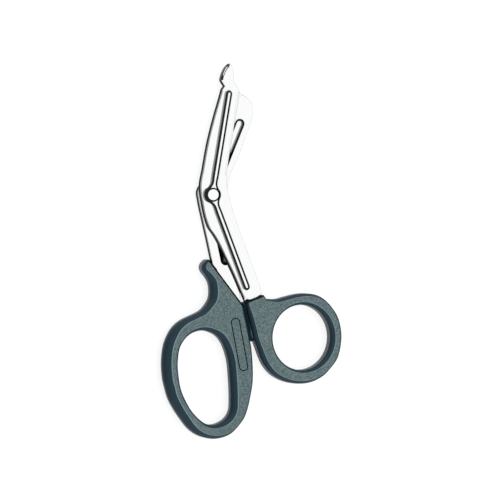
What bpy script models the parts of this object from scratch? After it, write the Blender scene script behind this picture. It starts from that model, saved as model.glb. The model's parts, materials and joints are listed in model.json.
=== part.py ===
# Utility scissors: two stamped sheet blades on one rivet, with moulded handles.
# Everything is drawn round the pivot: +Y towards the tips, +Z towards the rivet's head,
# z = 0 where the two blades slide on each other. Lengths are metres.
import math

import bmesh
import bpy
import numpy as np
from mathutils import Vector

# Sheet steel
SHEET = 0.0015                 # thickness of both blades
PLAY = 0.0003                  # gap between any two faces that touch
DEBURR = 0.00012               # chamfer round the stamped outline
LAND = 0.00035                 # flat left under the ground bevel of a cutting edge
GRIND_WIDTH = 0.0017           # width of the ground bevel
TOOTH_PITCH = 0.0010           # fine teeth of the lower blade's edge
TOOTH_DEPTH = 0.00022

# Lower blade: leans, lengths and widths, measured from the pivot
LOWER_BLADE_LEAN = 9.6         # degrees right of +Y, with the scissors closed
LOWER_SHANK_LEAN = 21.0        # degrees right of -Y
LOWER_EDGE_OFFSET = 0.0059     # rib axis to cutting edge
LOWER_EDGE_START = 0.0115
LOWER_EDGE_END = 0.0535
COLLAR_DISTANCE = 0.0566       # pivot to the end of the thumb handle's collar
FOOT_HEIGHT = 0.0048           # how far the bent-up foot stands over the sliding face
FOOT_BEND = 0.0009

# Upper blade
UPPER_BLADE_LEAN = 22.3
UPPER_SHANK_LEAN = 12.4
UPPER_EDGE_OFFSET = 0.0058
UPPER_EDGE_START = 0.0105
UPPER_EDGE_END = 0.0530

# Pressed ribs and the boss round the pivot
RIB_HALF = 0.0024              # half width at its foot
RIB_CREST = 0.0007             # half width of its flat crest
RIB_HEIGHT = 0.0014
GROOVE_INSET = 0.0001          # how much narrower the rib is on the hollow side
BOSS_RADIUS = 0.0054
LOWER_RIB_TOP = 0.0520         # pivot to the centres of the ribs' rounded ends
RIB_TO_COLLAR = 0.0066         # lower rib's bottom end to the thumb handle's collar
UPPER_RIB_TOP = 0.0391
UPPER_RIB_BOTTOM = 0.0340

# Rivet
RIVET_RADIUS = 0.0020
RIVET_HEAD_RADIUS = 0.0036
RIVET_HEAD_HEIGHT = 0.0010
RIVET_TAIL_RADIUS = 0.0033
RIVET_TAIL_HEIGHT = 0.0009

# Tangs inside the handles
TANG_HOLE_RADIUS = 0.0013
THUMB_TANG_LEFT = 0.0022       # shank axis to the tang's two sides
THUMB_TANG_RIGHT = 0.0040
THUMB_TANG_LENGTH = 0.0110
FINGER_TANG_LEFT = 0.0062
FINGER_TANG_RIGHT = 0.0010
FINGER_TANG_END = 0.0665       # pivot to the tang's end
THUMB_POST_DISTANCE = 0.0066   # collar to the post in the tang's hole
FINGER_POST_INSET = 0.0045     # tang's end to the post in its hole

# Moulded handles
HANDLE_THICKNESS = 0.0100
FINGER_ROUND = 0.0030          # rounding of the grips' edges
THUMB_ROUND = 0.0021
WALL_ROUND = 0.0014            # rounding of the finger handle where it faces the thumb handle
FACE_ROUND = 0.0005            # rounding where steel enters
LEDGE_TOP = -0.0010            # height of the thumb handle's stop ledge, over the sliding plane
LEDGE_FOOT = -0.0048
LEDGE_ROUND = 0.0008
STOP_GAP = 0.0003              # what is left between the closed handles

FINGER_HOLE_WIDTH = 0.0277
FINGER_HOLE_LENGTH = 0.0476
FINGER_HOLE_TOP = 0.0683       # how far below the pivot the hole starts
FINGER_ARM_OUTER = 0.0077
FINGER_ARM_INNER = 0.0113
FINGER_ARM_END = 0.0070
FINGER_ARM_TOP = 0.0090

THUMB_HOLE_WIDTH = 0.0305
THUMB_HOLE_LENGTH = 0.0331
THUMB_HOLE_TOP = 0.0556
THUMB_ARM_OUTER = 0.0058
THUMB_ARM_INNER = 0.0118
THUMB_ARM_TOP = 0.0058
THUMB_ARM_END = 0.0069

# Plain frame moulded into the finger handle's face
FRAME_WIDTH = 0.0048
FRAME_LINE = 0.0006
FRAME_DEPTH = 0.0004
FRAME_START = (0.0094, 0.0040)   # in from the widest point, and up from the hole's top
FRAME_END = (0.0052, -0.0182)

# The finger handle's slanting end face starts here and ends at the first stop point
FACE_TOP = (-0.0020, -0.0329)
# Where the closed handles meet, on the finger handle's side, and how far back the thumb
# handle's upper wall stands from there
STOP_LINE = ((0.0152, -0.0552), (0.0164, -0.0612), (0.0177, -0.0668), (0.0188, -0.0724),
             (0.0198, -0.0779))
WALL_SETBACK = (0.0021, 0.0023, 0.0026, 0.0029, 0.0039)
STOP_TO_WIDEST = 0.0008        # how much further right the finger handle reaches below
WALL_BELOW_COLLAR = 0.0009     # wall points nearer to the collar than this are left out
LEDGE_BELOW_COLLAR = 0.0003

# Curves of the stamped outlines: (along the axis, across to its right)
LOWER_NOSE = ((0.0021, 0.0045), (0.0037, 0.0026), (0.0057, 0.0013), (0.0097, 0.0006),
              (0.0123, -0.0005), (0.0134, -0.0019))       # from the edge's end
LOWER_SOLE = ((0.0134, -0.0019), (0.0131, -0.0031), (0.0112, -0.0046), (0.0080, -0.0057),
              (0.0050, -0.0060), (0.0037, -0.0057))
LOWER_NOTCH = ((0.0037, -0.0057), (0.0015, -0.0036))
LOWER_NICK = ((0.0015, -0.0036), (-0.0003, -0.0045))
LOWER_SPINE = ((0.0532, -0.0045), (0.0499, -0.0048), (0.0374, -0.0063), (0.0248, -0.0073),
               (0.0125, -0.0075), (0.0030, -0.0075))      # from the pivot
LOWER_HEEL = ((0.0030, -0.0071), (0.0090, -0.0080), (0.0146, -0.0080), (0.0184, -0.0070),
              (0.0225, -0.0062), (0.0315, -0.0053), (0.0418, -0.0044))
LOWER_FLANK = ((0.0520, 0.0069), (0.0320, 0.0069), (0.0150, 0.0071), (0.0056, 0.0077))
LOWER_SHANK_LEFT = 0.0038      # shank axis to its two sides at the collar
LOWER_SHANK_RIGHT = 0.0061
SHANK_RUN_OUT = 0.0030         # curve points nearer to the collar than this are left out
UPPER_FLANK = ((0.0480, 0.0044), (0.0350, 0.0053), (0.0200, 0.0060), (0.0080, 0.0069))
UPPER_BACK = ((0.0045, 0.0070), (0.0114, 0.0053), (0.0231, 0.0057), (0.0322, 0.0054),
              (0.0400, 0.0052), (0.0470, 0.0044), (0.0505, 0.0024), (0.0524, -0.0007),
              (0.0530, -0.0035))
UPPER_BULGE = ((0.0062, -0.0067), (-0.0010, -0.0080))
UPPER_LEFT = ((0.0013, -0.0078), (0.0138, -0.0078), (0.0216, -0.0077))
UPPER_SHANK_LEFT = 0.0077
UPPER_SHANK_RIGHT = 0.0029

HALF_HANDLE = HANDLE_THICKNESS / 2
SLIDE = PLAY / 2
OUTER_FACE = SLIDE + SHEET
BOSS_TOP = OUTER_FACE + RIB_HEIGHT


# Plane geometry

def blade_point(lean, distance, across):
    """A point up a line that leans right of +Y, and across to that line's right."""
    a = math.radians(lean)
    return (distance * math.sin(a) + across * math.cos(a),
            distance * math.cos(a) - across * math.sin(a))


def shank_point(lean, distance, across):
    """A point down a line that leans right of -Y, and across to the right."""
    a = math.radians(lean)
    return (distance * math.sin(a) + across * math.cos(a),
            -distance * math.cos(a) + across * math.sin(a))


def smooth_run(points, spacing, closed=False):
    """Points at even spacing along a smooth curve through the given ones.

    Each point is (x, y, values...), and the values are blended along the curve."""
    p = np.array(points, dtype=float)
    if len(p) == 2:
        steps = max(1, round(float(np.hypot(*(p[1] - p[0])[:2])) / spacing))
        t = np.linspace(0.0, 1.0, steps + 1)[:, None]
        return p[0] * (1 - t) + p[1] * t
    first, last = 0, len(p) - 1
    if closed:
        first, last = 2, len(p) + 2
        p = np.vstack([p[-2:], p, p[:3]])
    chord = np.sqrt(np.hypot(*np.diff(p[:, :2], axis=0).T))
    knots = np.concatenate([[0.0], np.cumsum(chord)])
    slopes = np.gradient(p, knots, axis=0)
    dense = []
    for i in range(first, last):
        h = knots[i + 1] - knots[i]
        t = np.linspace(0.0, 1.0, 24, endpoint=False)[:, None]
        dense.append((2 * t**3 - 3 * t**2 + 1) * p[i] + (t**3 - 2 * t**2 + t) * h * slopes[i]
                     + (-2 * t**3 + 3 * t**2) * p[i + 1] + (t**3 - t**2) * h * slopes[i + 1])
    dense = np.vstack(dense + [p[last:last + 1]])
    length = np.concatenate([[0.0], np.cumsum(np.hypot(*np.diff(dense[:, :2], axis=0).T))])
    steps = max(2, round(length[-1] / spacing))
    at = np.linspace(0.0, length[-1], steps + 1)
    run = np.column_stack([np.interp(at, length, dense[:, k]) for k in range(dense.shape[1])])
    return run[:-1] if closed else run


def closed_outline(runs):
    """Join runs, each smooth inside and meeting the next at a corner, into one loop."""
    return np.vstack([run[:-1] for run in runs])


def oval(centre, half_width, half_length, count, radius):
    """A closed ellipse, counter-clockwise, each point with its edge's rounding."""
    turn = np.linspace(0.0, 2 * math.pi, count, endpoint=False)
    return np.column_stack([centre[0] + half_width * np.cos(turn),
                            centre[1] + half_length * np.sin(turn), np.full(count, radius)])


def signed_area(loop):
    x, y = loop[:, 0], loop[:, 1]
    return 0.5 * float(np.sum(x * np.roll(y, -1) - np.roll(x, -1) * y))


def inset(loop, amounts):
    """Move each point of a counter-clockwise loop inwards by its own amount."""
    xy = loop[:, :2]
    before = xy - np.roll(xy, 1, axis=0)
    after = np.roll(xy, -1, axis=0) - xy
    before /= np.linalg.norm(before, axis=1)[:, None]
    after /= np.linalg.norm(after, axis=1)[:, None]
    n0 = np.column_stack([-before[:, 1], before[:, 0]])
    n1 = np.column_stack([-after[:, 1], after[:, 0]])
    mitre = n0 + n1
    mitre /= np.maximum(np.sum(mitre * mitre, axis=1) / 2, 0.5)[:, None]
    return xy + mitre * np.asarray(amounts)[:, None]


# Solids

def new_object(name, bm, material):
    bmesh.ops.recalc_face_normals(bm, faces=bm.faces)
    mesh = bpy.data.meshes.new(name)
    bm.to_mesh(mesh)
    bm.free()
    obj = bpy.data.objects.new(name, mesh)
    bpy.context.collection.objects.link(obj)
    if material:
        mesh.materials.append(material)
    return obj


def loft(name, stacks, material=None):
    """A solid from stacks of level loops: one stack round the outside, one for each hole."""
    bm = bmesh.new()
    first_edges, last_edges = [], []
    for stack in stacks:
        rings = [[bm.verts.new((x, y, z)) for (x, y), z in zip(xy, zs)] for xy, zs in stack]
        count = len(rings[0])
        for lower, upper in zip(rings, rings[1:]):
            for i in range(count):
                j = (i + 1) % count
                bm.faces.new((lower[i], lower[j], upper[j], upper[i]))
        for ring, edges in ((rings[0], first_edges), (rings[-1], last_edges)):
            for i in range(count):
                edges.append(bm.edges.get((ring[i], ring[(i + 1) % count])))
    for edges in (first_edges, last_edges):
        bmesh.ops.triangle_fill(bm, use_beauty=True, edges=edges)
    return new_object(name, bm, material)


def level(loop, amounts, z):
    """One ring of a loft: the loop moved in by amounts, at height z (a value or one each)."""
    amounts = np.broadcast_to(amounts, len(loop))
    return inset(loop, amounts), np.broadcast_to(z, len(loop))


def prism(name, loop, low, high):
    return loft(name, [[level(loop, 0.0, low), level(loop, 0.0, high)]])


def turned(name, profile, count, material=None):
    """A solid of revolution about Z from (radius, z) points, both ends closed."""
    bm = bmesh.new()
    rings = []
    for radius, z in profile:
        rings.append([bm.verts.new((radius * math.cos(2 * math.pi * i / count),
                                    radius * math.sin(2 * math.pi * i / count), z))
                      for i in range(count)])
    for lower, upper in zip(rings, rings[1:]):
        for i in range(count):
            j = (i + 1) % count
            bm.faces.new((lower[i], lower[j], upper[j], upper[i]))
    bm.faces.new(rings[0])
    bm.faces.new(rings[-1])
    return new_object(name, bm, material)


def combine(target, tool, operation):
    """Apply one Boolean and delete its tool."""
    mod = target.modifiers.new("shape", "BOOLEAN")
    mod.operation = operation
    mod.object = tool
    mod.solver = "EXACT"
    depsgraph = bpy.context.evaluated_depsgraph_get()
    mesh = bpy.data.meshes.new_from_object(target.evaluated_get(depsgraph))
    target.modifiers.clear()
    old = target.data
    target.data = mesh
    bpy.data.meshes.remove(old)
    bpy.data.objects.remove(tool)


def drill(target, centre, radius, low, high, count=24):
    tool = turned("drill", [(radius, low), (radius, high)], count)
    tool.location = (centre[0], centre[1], 0.0)
    bpy.context.view_layer.update()
    combine(target, tool, "DIFFERENCE")


def material(name, colour, metallic, roughness):
    mat = bpy.data.materials.new(name)
    mat.use_nodes = True
    shader = mat.node_tree.nodes["Principled BSDF"]
    shader.inputs["Base Color"].default_value = (*colour, 1.0)
    shader.inputs["Metallic"].default_value = metallic
    shader.inputs["Roughness"].default_value = roughness
    return mat


# Blades

def capsule(start, end, half, count=8):
    """Outline of a slot with round ends round the line from start to end."""
    start, end = Vector(start), Vector(end)
    heading = math.atan2(end.y - start.y, end.x - start.x)
    loop = []
    for centre, turn in ((end, -math.pi / 2), (start, math.pi / 2)):
        for i in range(count + 1):
            a = heading + turn + math.pi * i / count
            loop.append((centre.x + half * math.cos(a), centre.y + half * math.sin(a)))
    return np.array(loop)


def rib_levels(half, base, side):
    """(half width, z) steps up a pressed rib, from just inside its sheet to the crest."""
    rise = RIB_HEIGHT
    slope = half - RIB_CREST
    return [(half, base - side * PLAY), (half, base), (half - 0.22 * slope, base + side * 0.36 * rise),
            (half - 0.62 * slope, base + side * 0.80 * rise), (half - slope, base + side * rise)]


def rib_solid(name, ends, half, base, side):
    """The ridge of a pressed rib bent at the pivot, with the boss round the rivet hole."""
    parts = []
    for end in ends:
        loops = [level(capsule((0.0, 0.0), end, w), 0.0, z) for w, z in rib_levels(half, base, side)]
        parts.append(loft(name, [loops]))
    wider = BOSS_RADIUS - RIB_HALF
    boss = [(w + wider, z) for w, z in rib_levels(half, base, side)]
    parts.append(turned(name, boss, 32))
    for extra in parts[1:]:
        combine(parts[0], extra, "UNION")
    return parts[0]


def press_rib(blade, ends, side):
    """Raise the rib on the outer face and sink its hollow into the sliding face."""
    ridge = rib_solid("ridge", ends, RIB_HALF, side * OUTER_FACE, side)
    combine(blade, ridge, "UNION")
    hollow = rib_solid("hollow", ends, RIB_HALF - GROOVE_INSET, side * SLIDE, side)
    combine(blade, hollow, "DIFFERENCE")
    drill(blade, (0.0, 0.0), RIVET_RADIUS + PLAY, -2 * BOSS_TOP, 2 * BOSS_TOP)


def sheet_blade(name, outline, side, steel):
    """Loft the sheet: chamfer at the sliding face, side wall, ground bevel, bent-up foot.

    The outline's values are the bevel's width, the tooth depth, the foot's share of its
    full height and the bend at its root. Side is +1 or -1: which way the outer face looks."""
    if signed_area(outline) < 0:
        outline = outline[::-1]
    grind, tooth, foot, bend = outline[:, 2], outline[:, 3], outline[:, 4], outline[:, 5]
    chamfer = np.maximum(DEBURR, bend * FOOT_BEND)
    chamfer = np.where(grind > 0, DEBURR / 3, chamfer)
    wall = np.where(grind > 0, LAND, SHEET - DEBURR)
    wall = wall + foot * (FOOT_HEIGHT - SHEET - DEBURR)
    rim = SHEET + foot * (FOOT_HEIGHT - SHEET)
    top_inset = np.maximum(DEBURR, grind)
    heights = [(chamfer + tooth, 0.0), (tooth, chamfer), (tooth, wall), (top_inset, rim)]
    if foot.any():
        inner = np.where(foot > 0, SHEET, top_inset + DEBURR)
        heights.append((inner, np.where(foot > 0, rim - DEBURR, SHEET)))
        heights.append((inner + DEBURR, np.full(len(outline), SHEET)))
    rings = [level(outline, amounts, side * (SLIDE + z)) for amounts, z in heights]
    return loft(name, [rings], steel)


def plain(points):
    return [(x, y, 0.0, 0.0, 0.0, 0.0) for x, y in points]


def cutting_edge(start, end, teeth):
    """A straight ground edge, with fine teeth if asked."""
    a, b = Vector(start), Vector(end)
    count = 2 * max(1, round((b - a).length / TOOTH_PITCH)) if teeth else 8
    run = []
    for i in range(count + 1):
        p = a.lerp(b, i / count)
        run.append((p.x, p.y, GRIND_WIDTH, TOOTH_DEPTH if teeth and i % 2 else 0.0, 0.0, 0.0))
    return np.array(run)


def lower_blade_outline():
    lean, shank = LOWER_BLADE_LEAN, LOWER_SHANK_LEAN
    edge = LOWER_EDGE_OFFSET
    start = blade_point(lean, LOWER_EDGE_START, edge)
    end = blade_point(lean, LOWER_EDGE_END, edge)
    steel_end = COLLAR_DISTANCE - PLAY
    left, right = (steel_end, -LOWER_SHANK_LEFT), (steel_end, LOWER_SHANK_RIGHT)
    tang_end = steel_end + THUMB_TANG_LENGTH

    def ahead(table):
        return [blade_point(lean, LOWER_EDGE_END + d, v) for d, v in table]

    def above_collar(table):
        return [(d, w) for d, w in table if d < steel_end - SHANK_RUN_OUT]

    nose = smooth_run(plain([end] + ahead(LOWER_NOSE)), 0.0014)
    sole = smooth_run(plain(ahead(LOWER_SOLE)), 0.0009)
    along = np.linspace(-1.0, 1.0, len(sole))
    sole[:, 4] = np.clip(1.0 - np.abs(along) ** 3, 0.0, 1.0)
    sole[:, 5] = np.clip(2.0 - 2.0 * np.abs(along), 0.0, 1.0)
    notch = smooth_run(plain(ahead(LOWER_NOTCH)), 0.002)
    nick = smooth_run(plain(ahead(LOWER_NICK)), 0.002)
    spine = [blade_point(lean, d, v) for d, v in LOWER_SPINE]
    heel = [shank_point(shank, d, w) for d, w in above_collar(LOWER_HEEL) + [left]]
    tang = [shank_point(shank, d, w) for d, w in
            (left, (left[0], -THUMB_TANG_LEFT), (tang_end, -THUMB_TANG_LEFT),
             (tang_end, THUMB_TANG_RIGHT), (right[0], THUMB_TANG_RIGHT), right)]
    flank = [shank_point(shank, d, w) for d, w in [right] + above_collar(LOWER_FLANK)]
    flank += [blade_point(lean, UPPER_BULGE[0][0], -UPPER_BULGE[0][1]), start]
    runs = [cutting_edge(start, end, True), nose, sole, notch, nick,
            smooth_run(plain(spine + heel), 0.0026)]
    runs += [smooth_run(plain(pair), 0.004) for pair in zip(tang, tang[1:])]
    runs.append(smooth_run(plain(flank), 0.0026))
    return closed_outline(runs)


def shank_place(lean, point):
    """How far down a shank's axis a point lies, and how far to its right."""
    a = math.radians(lean)
    x, y = point
    return x * math.sin(a) - y * math.cos(a), x * math.cos(a) + y * math.sin(a)


def finger_face_slope():
    """How much further down the upper shank the slanting end face lies, per metre across."""
    near, left = shank_place(UPPER_SHANK_LEAN, FACE_TOP)
    far, right = shank_place(UPPER_SHANK_LEAN, STOP_LINE[0])
    return (far - near) / (right - left)


def finger_face(across):
    """How far down the upper shank the end face of the finger handle lies."""
    near, left = shank_place(UPPER_SHANK_LEAN, FACE_TOP)
    return near + finger_face_slope() * (across - left)


def upper_blade_outline():
    lean, shank = UPPER_BLADE_LEAN, UPPER_SHANK_LEAN
    start = blade_point(lean, UPPER_EDGE_START, -UPPER_EDGE_OFFSET)
    end = blade_point(lean, UPPER_EDGE_END, -UPPER_EDGE_OFFSET)
    slope = math.hypot(1.0, finger_face_slope())

    def shoulder(across):
        return shank_point(shank, finger_face(across) - PLAY * slope, across)

    right = [shoulder(UPPER_SHANK_RIGHT)] + [shank_point(shank, d, w) for d, w in UPPER_FLANK]
    right += [blade_point(lean, d, v) for d, v in UPPER_BACK] + [end]
    left = [start] + [blade_point(lean, d, v) for d, v in UPPER_BULGE]
    left += [shank_point(shank, d, w) for d, w in UPPER_LEFT] + [shoulder(-UPPER_SHANK_LEFT)]
    tang = [shoulder(-UPPER_SHANK_LEFT), shoulder(-FINGER_TANG_LEFT),
            shank_point(shank, FINGER_TANG_END, -FINGER_TANG_LEFT),
            shank_point(shank, FINGER_TANG_END, FINGER_TANG_RIGHT),
            shoulder(FINGER_TANG_RIGHT), shoulder(UPPER_SHANK_RIGHT)]
    runs = [smooth_run(plain(right), 0.0024), cutting_edge(end, start, False),
            smooth_run(plain(left), 0.0026)]
    runs += [smooth_run(plain(pair), 0.004) for pair in zip(tang, tang[1:])]
    return closed_outline(runs)


def thumb_tang_box(grow, lift):
    """Corners of the lower blade's tang, grown all round and reaching lift out of the collar."""
    start = COLLAR_DISTANCE - lift
    end = COLLAR_DISTANCE - PLAY + THUMB_TANG_LENGTH + grow
    return np.array([shank_point(LOWER_SHANK_LEAN, d, w) for d, w in
                     ((start, -THUMB_TANG_LEFT - grow), (end, -THUMB_TANG_LEFT - grow),
                      (end, THUMB_TANG_RIGHT + grow), (start, THUMB_TANG_RIGHT + grow))])


def finger_tang_box(grow, lift):
    left, right = -FINGER_TANG_LEFT - grow, FINGER_TANG_RIGHT + grow
    return np.array([shank_point(UPPER_SHANK_LEAN, d, w) for d, w in
                     ((finger_face(left) - lift, left), (FINGER_TANG_END + grow, left),
                      (FINGER_TANG_END + grow, right), (finger_face(right) - lift, right))])


def thumb_post_place():
    middle = (THUMB_TANG_RIGHT - THUMB_TANG_LEFT) / 2
    return shank_point(LOWER_SHANK_LEAN, COLLAR_DISTANCE + THUMB_POST_DISTANCE, middle)


def finger_post_place():
    middle = (FINGER_TANG_RIGHT - FINGER_TANG_LEFT) / 2
    return shank_point(UPPER_SHANK_LEAN, FINGER_TANG_END - FINGER_POST_INSET, middle)


# Handles

def moulded(name, outline, holes, bottom, top, plastic):
    """A flat moulding with rounded edges, whose radius is each point's own value."""
    if signed_area(outline) < 0:
        outline = outline[::-1]
    stacks = []
    for loop, way in [(outline, 1.0)] + [(hole, -1.0) for hole in holes]:
        radius = loop[:, 2]
        rings = []
        for end, face, turns in ((1.0, bottom, (0, 30, 60, 90)), (-1.0, top, (90, 60, 30, 0))):
            for turn in turns:
                a = math.radians(turn)
                z = face + end * radius * (1 - math.cos(a))
                rings.append(level(loop, way * radius * (1 - math.sin(a)), z))
        stacks.append(rings)
    return loft(name, stacks, plastic)


def slot_for_tang(handle, corners, side, post):
    """Sink the tang's pocket, leaving a post that stands through the tang's hole."""
    low, high = sorted((side * (SLIDE - PLAY), side * (OUTER_FACE + PLAY)))
    pocket = prism("pocket", corners if signed_area(corners) > 0 else corners[::-1], low, high)
    drill(pocket, post, TANG_HOLE_RADIUS - PLAY, -HANDLE_THICKNESS, HANDLE_THICKNESS, 16)
    combine(handle, pocket, "DIFFERENCE")


def finger_hole_centre():
    right = STOP_LINE[-1][0] + STOP_TO_WIDEST - FINGER_ARM_INNER
    return right - FINGER_HOLE_WIDTH / 2, -FINGER_HOLE_TOP - FINGER_HOLE_LENGTH / 2


def finger_outline():
    cx, cy = finger_hole_centre()
    left = FINGER_HOLE_WIDTH / 2 + FINGER_ARM_OUTER
    right = FINGER_HOLE_WIDTH / 2 + FINGER_ARM_INNER
    bottom = FINGER_HOLE_LENGTH / 2 + FINGER_ARM_END
    top = FINGER_HOLE_LENGTH / 2 + FINGER_ARM_TOP
    face = FACE_ROUND

    hook = [(*FACE_TOP, face), (-0.0029, -0.0325, 0.0009), (-0.0043, -0.0334, 0.0018),
            (-0.0057, -0.0352, 0.0020), (-0.0060, -0.0370, 0.0021), (-0.0053, -0.0389, 0.0024),
            (-0.0037, -0.0410, 0.0027), (-0.0021, -0.0440, FINGER_ROUND),
            (-0.0014, -0.0480, FINGER_ROUND), (-0.0018, -0.0521, FINGER_ROUND),
            (-0.0034, -0.0552, FINGER_ROUND)]
    loop = [(cx - left * fx, cy + top * fy) for fx, fy in
            ((0.08, 1.03), (0.30, 0.957), (0.49, 0.902), (0.652, 0.832), (0.777, 0.747),
             (0.865, 0.649), (0.935, 0.54), (0.977, 0.418), (1.0, 0.216))]
    loop += [(cx - left * fx, cy - bottom * fy) for fx, fy in
             ((0.972, 0.016), (0.921, 0.166), (0.851, 0.328), (0.735, 0.484), (0.568, 0.656),
              (0.378, 0.821), (0.197, 0.919), (0.0, 0.977))]
    loop += [(cx + right * fx, cy - bottom * fy) for fx, fy in
             ((0.181, 1.0), (0.38, 0.977), (0.555, 0.912), (0.718, 0.779), (0.825, 0.656),
              (0.897, 0.494), (0.948, 0.312), (0.988, 0.13), (1.0, -0.049))]
    body = hook + [(x, y, FINGER_ROUND) for x, y in loop[:-3]]
    body += [(x, y, (FINGER_ROUND + WALL_ROUND) / 2) for x, y in loop[-3:]]
    body += [(x, y, WALL_ROUND) for x, y in STOP_LINE[::-1]]
    return closed_outline([smooth_run(body, 0.0017), smooth_run([body[-1], body[0]], 0.004)])


def finger_hole():
    cx, cy = finger_hole_centre()
    half = FINGER_HOLE_WIDTH / 2
    long = FINGER_HOLE_LENGTH / 2
    shape = [(cx + half * fx, cy + long * fy, FINGER_ROUND) for fx, fy in
             ((1.0, -0.49), (0.965, 0.02), (0.88, 0.42), (0.65, 0.765), (0.40, 0.915),
              (-0.09, 1.0), (-0.56, 0.915), (-0.90, 0.67), (-1.0, 0.33), (-0.975, 0.06),
              (-0.885, -0.235), (-0.70, -0.49), (-0.42, -0.745), (-0.01, -0.955),
              (0.285, -1.0), (0.59, -0.955), (0.835, -0.85), (0.972, -0.70))]
    return smooth_run(shape, 0.0019, closed=True)


def thumb_hole_centre():
    left = STOP_LINE[3][0] + STOP_GAP + THUMB_ARM_INNER
    return left + THUMB_HOLE_WIDTH / 2, -THUMB_HOLE_TOP - THUMB_HOLE_LENGTH / 2


def below_collar(points, margin):
    """The points that lie further down the lower shank than the collar, by the margin."""
    return [p for p in points
            if shank_place(LOWER_SHANK_LEAN, p[:2])[0] > COLLAR_DISTANCE + margin]


def thumb_outline():
    cx, cy = thumb_hole_centre()
    right = THUMB_HOLE_WIDTH / 2 + THUMB_ARM_OUTER
    top = THUMB_HOLE_LENGTH / 2 + THUMB_ARM_TOP
    bottom = THUMB_HOLE_LENGTH / 2 + THUMB_ARM_END
    rounds = (0.0010, 0.0018, THUMB_ROUND, THUMB_ROUND, THUMB_ROUND)
    wall = [(x + back, y, radius) for (x, y), back, radius in
            zip(STOP_LINE, WALL_SETBACK, rounds)]
    wall = below_collar(wall, WALL_BELOW_COLLAR)
    collar_left = (*shank_point(LOWER_SHANK_LEAN, COLLAR_DISTANCE, -0.0032), FACE_ROUND)
    collar_right = (*shank_point(LOWER_SHANK_LEAN, COLLAR_DISTANCE, 0.0063), FACE_ROUND)
    step = (*shank_point(LOWER_SHANK_LEAN, COLLAR_DISTANCE + 0.0025, 0.0070), 0.0009)
    ring = [(cx - right * fx, cy - bottom * fy) for fx, fy in
            ((0.981, 0.441), (0.874, 0.612), (0.691, 0.815), (0.354, 0.965), (0.0, 1.0))]
    ring += [(cx + right * fx, cy - bottom * fy) for fx, fy in
             ((0.28, 0.957), (0.553, 0.83), (0.71, 0.69), (0.90, 0.46), (1.0, 0.055))]
    ring += [(cx + right * fx, cy + top * fy) for fx, fy in
             ((0.975, 0.26), (0.89, 0.50), (0.70, 0.75), (0.53, 0.89), (0.344, 0.97),
              (0.07, 1.0), (-0.18, 0.97), (-0.40, 0.92), (-0.62, 0.87))]
    body = [collar_left] + wall + [(x, y, THUMB_ROUND) for x, y in ring]
    body += [(step[0] + 0.0012, step[1] + 0.0001, 0.0016), step]
    return closed_outline([smooth_run(body, 0.0017), smooth_run([step, collar_right], 0.002),
                           smooth_run([collar_right, collar_left], 0.004)])


def stop_ledge(plastic):
    """The low ledge of the thumb handle that rests on the finger handle when closed."""
    left = [(x + STOP_GAP, y, LEDGE_ROUND) for x, y in STOP_LINE[:4]]
    left = below_collar(left, LEDGE_BELOW_COLLAR)
    start, end = left[0], left[-1]
    end = (end[0] + 0.0008, end[1] - 0.0016, LEDGE_ROUND)
    foot = (end[0] + 0.0050, end[1] - 0.0010, LEDGE_ROUND)
    inner = (start[0] + 0.0050, start[1] - 0.0010, LEDGE_ROUND)
    runs = [smooth_run(left + [end], 0.0017)]
    runs += [smooth_run(pair, 0.0025) for pair in ((end, foot), (foot, inner), (inner, start))]
    return moulded("ledge", closed_outline(runs), [], LEDGE_FOOT, LEDGE_TOP, plastic)


def thumb_hole():
    return oval(thumb_hole_centre(), THUMB_HOLE_WIDTH / 2, THUMB_HOLE_LENGTH / 2, 56, THUMB_ROUND)


def frame_line(handle):
    """Sink the plain stadium line into the finger handle's face, along its inner arm."""
    cx, _ = finger_hole_centre()
    right = cx + FINGER_HOLE_WIDTH / 2 + FINGER_ARM_INNER
    start = (right - FRAME_START[0], -FINGER_HOLE_TOP + FRAME_START[1])
    end = (right - FRAME_END[0], -FINGER_HOLE_TOP + FRAME_END[1])
    loops = []
    for half in (FRAME_WIDTH / 2, FRAME_WIDTH / 2 - FRAME_LINE):
        outline = capsule(start, end, half)
        loops.append([level(outline, 0.0, HALF_HANDLE - FRAME_DEPTH),
                      level(outline, 0.0, HALF_HANDLE + FRAME_DEPTH)])
    combine(handle, loft("line", loops), "DIFFERENCE")


def rivet(steel):
    head, tail = BOSS_TOP + PLAY, -BOSS_TOP - PLAY
    profile = [(RIVET_TAIL_RADIUS * 0.62, tail - RIVET_TAIL_HEIGHT),
               (RIVET_TAIL_RADIUS * 0.90, tail - RIVET_TAIL_HEIGHT * 0.68),
               (RIVET_TAIL_RADIUS, tail - RIVET_TAIL_HEIGHT * 0.25), (RIVET_TAIL_RADIUS * 0.98, tail),
               (RIVET_RADIUS, tail), (RIVET_RADIUS, head), (RIVET_HEAD_RADIUS, head),
               (RIVET_HEAD_RADIUS, head + RIVET_HEAD_HEIGHT * 0.45),
               (RIVET_HEAD_RADIUS * 0.93, head + RIVET_HEAD_HEIGHT * 0.80),
               (RIVET_HEAD_RADIUS * 0.80, head + RIVET_HEAD_HEIGHT)]
    return turned("pivot_rivet", profile, 32, steel)


# Assembly

for old in list(bpy.data.objects):
    bpy.data.objects.remove(old, do_unlink=True)

steel = material("stainless_sheet", (0.78, 0.79, 0.80), 1.0, 0.22)
rivet_steel = material("rivet_steel", (0.80, 0.80, 0.81), 1.0, 0.18)
plastic = material("slate_plastic", (0.105, 0.165, 0.180), 0.0, 0.55)

lower = sheet_blade("lower_blade", lower_blade_outline(), 1.0, steel)
press_rib(lower, [blade_point(LOWER_BLADE_LEAN, LOWER_RIB_TOP, 0.0),
                  shank_point(LOWER_SHANK_LEAN, COLLAR_DISTANCE - RIB_TO_COLLAR, 0.0)], 1.0)
drill(lower, thumb_post_place(), TANG_HOLE_RADIUS, -HANDLE_THICKNESS, HANDLE_THICKNESS, 16)

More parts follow.
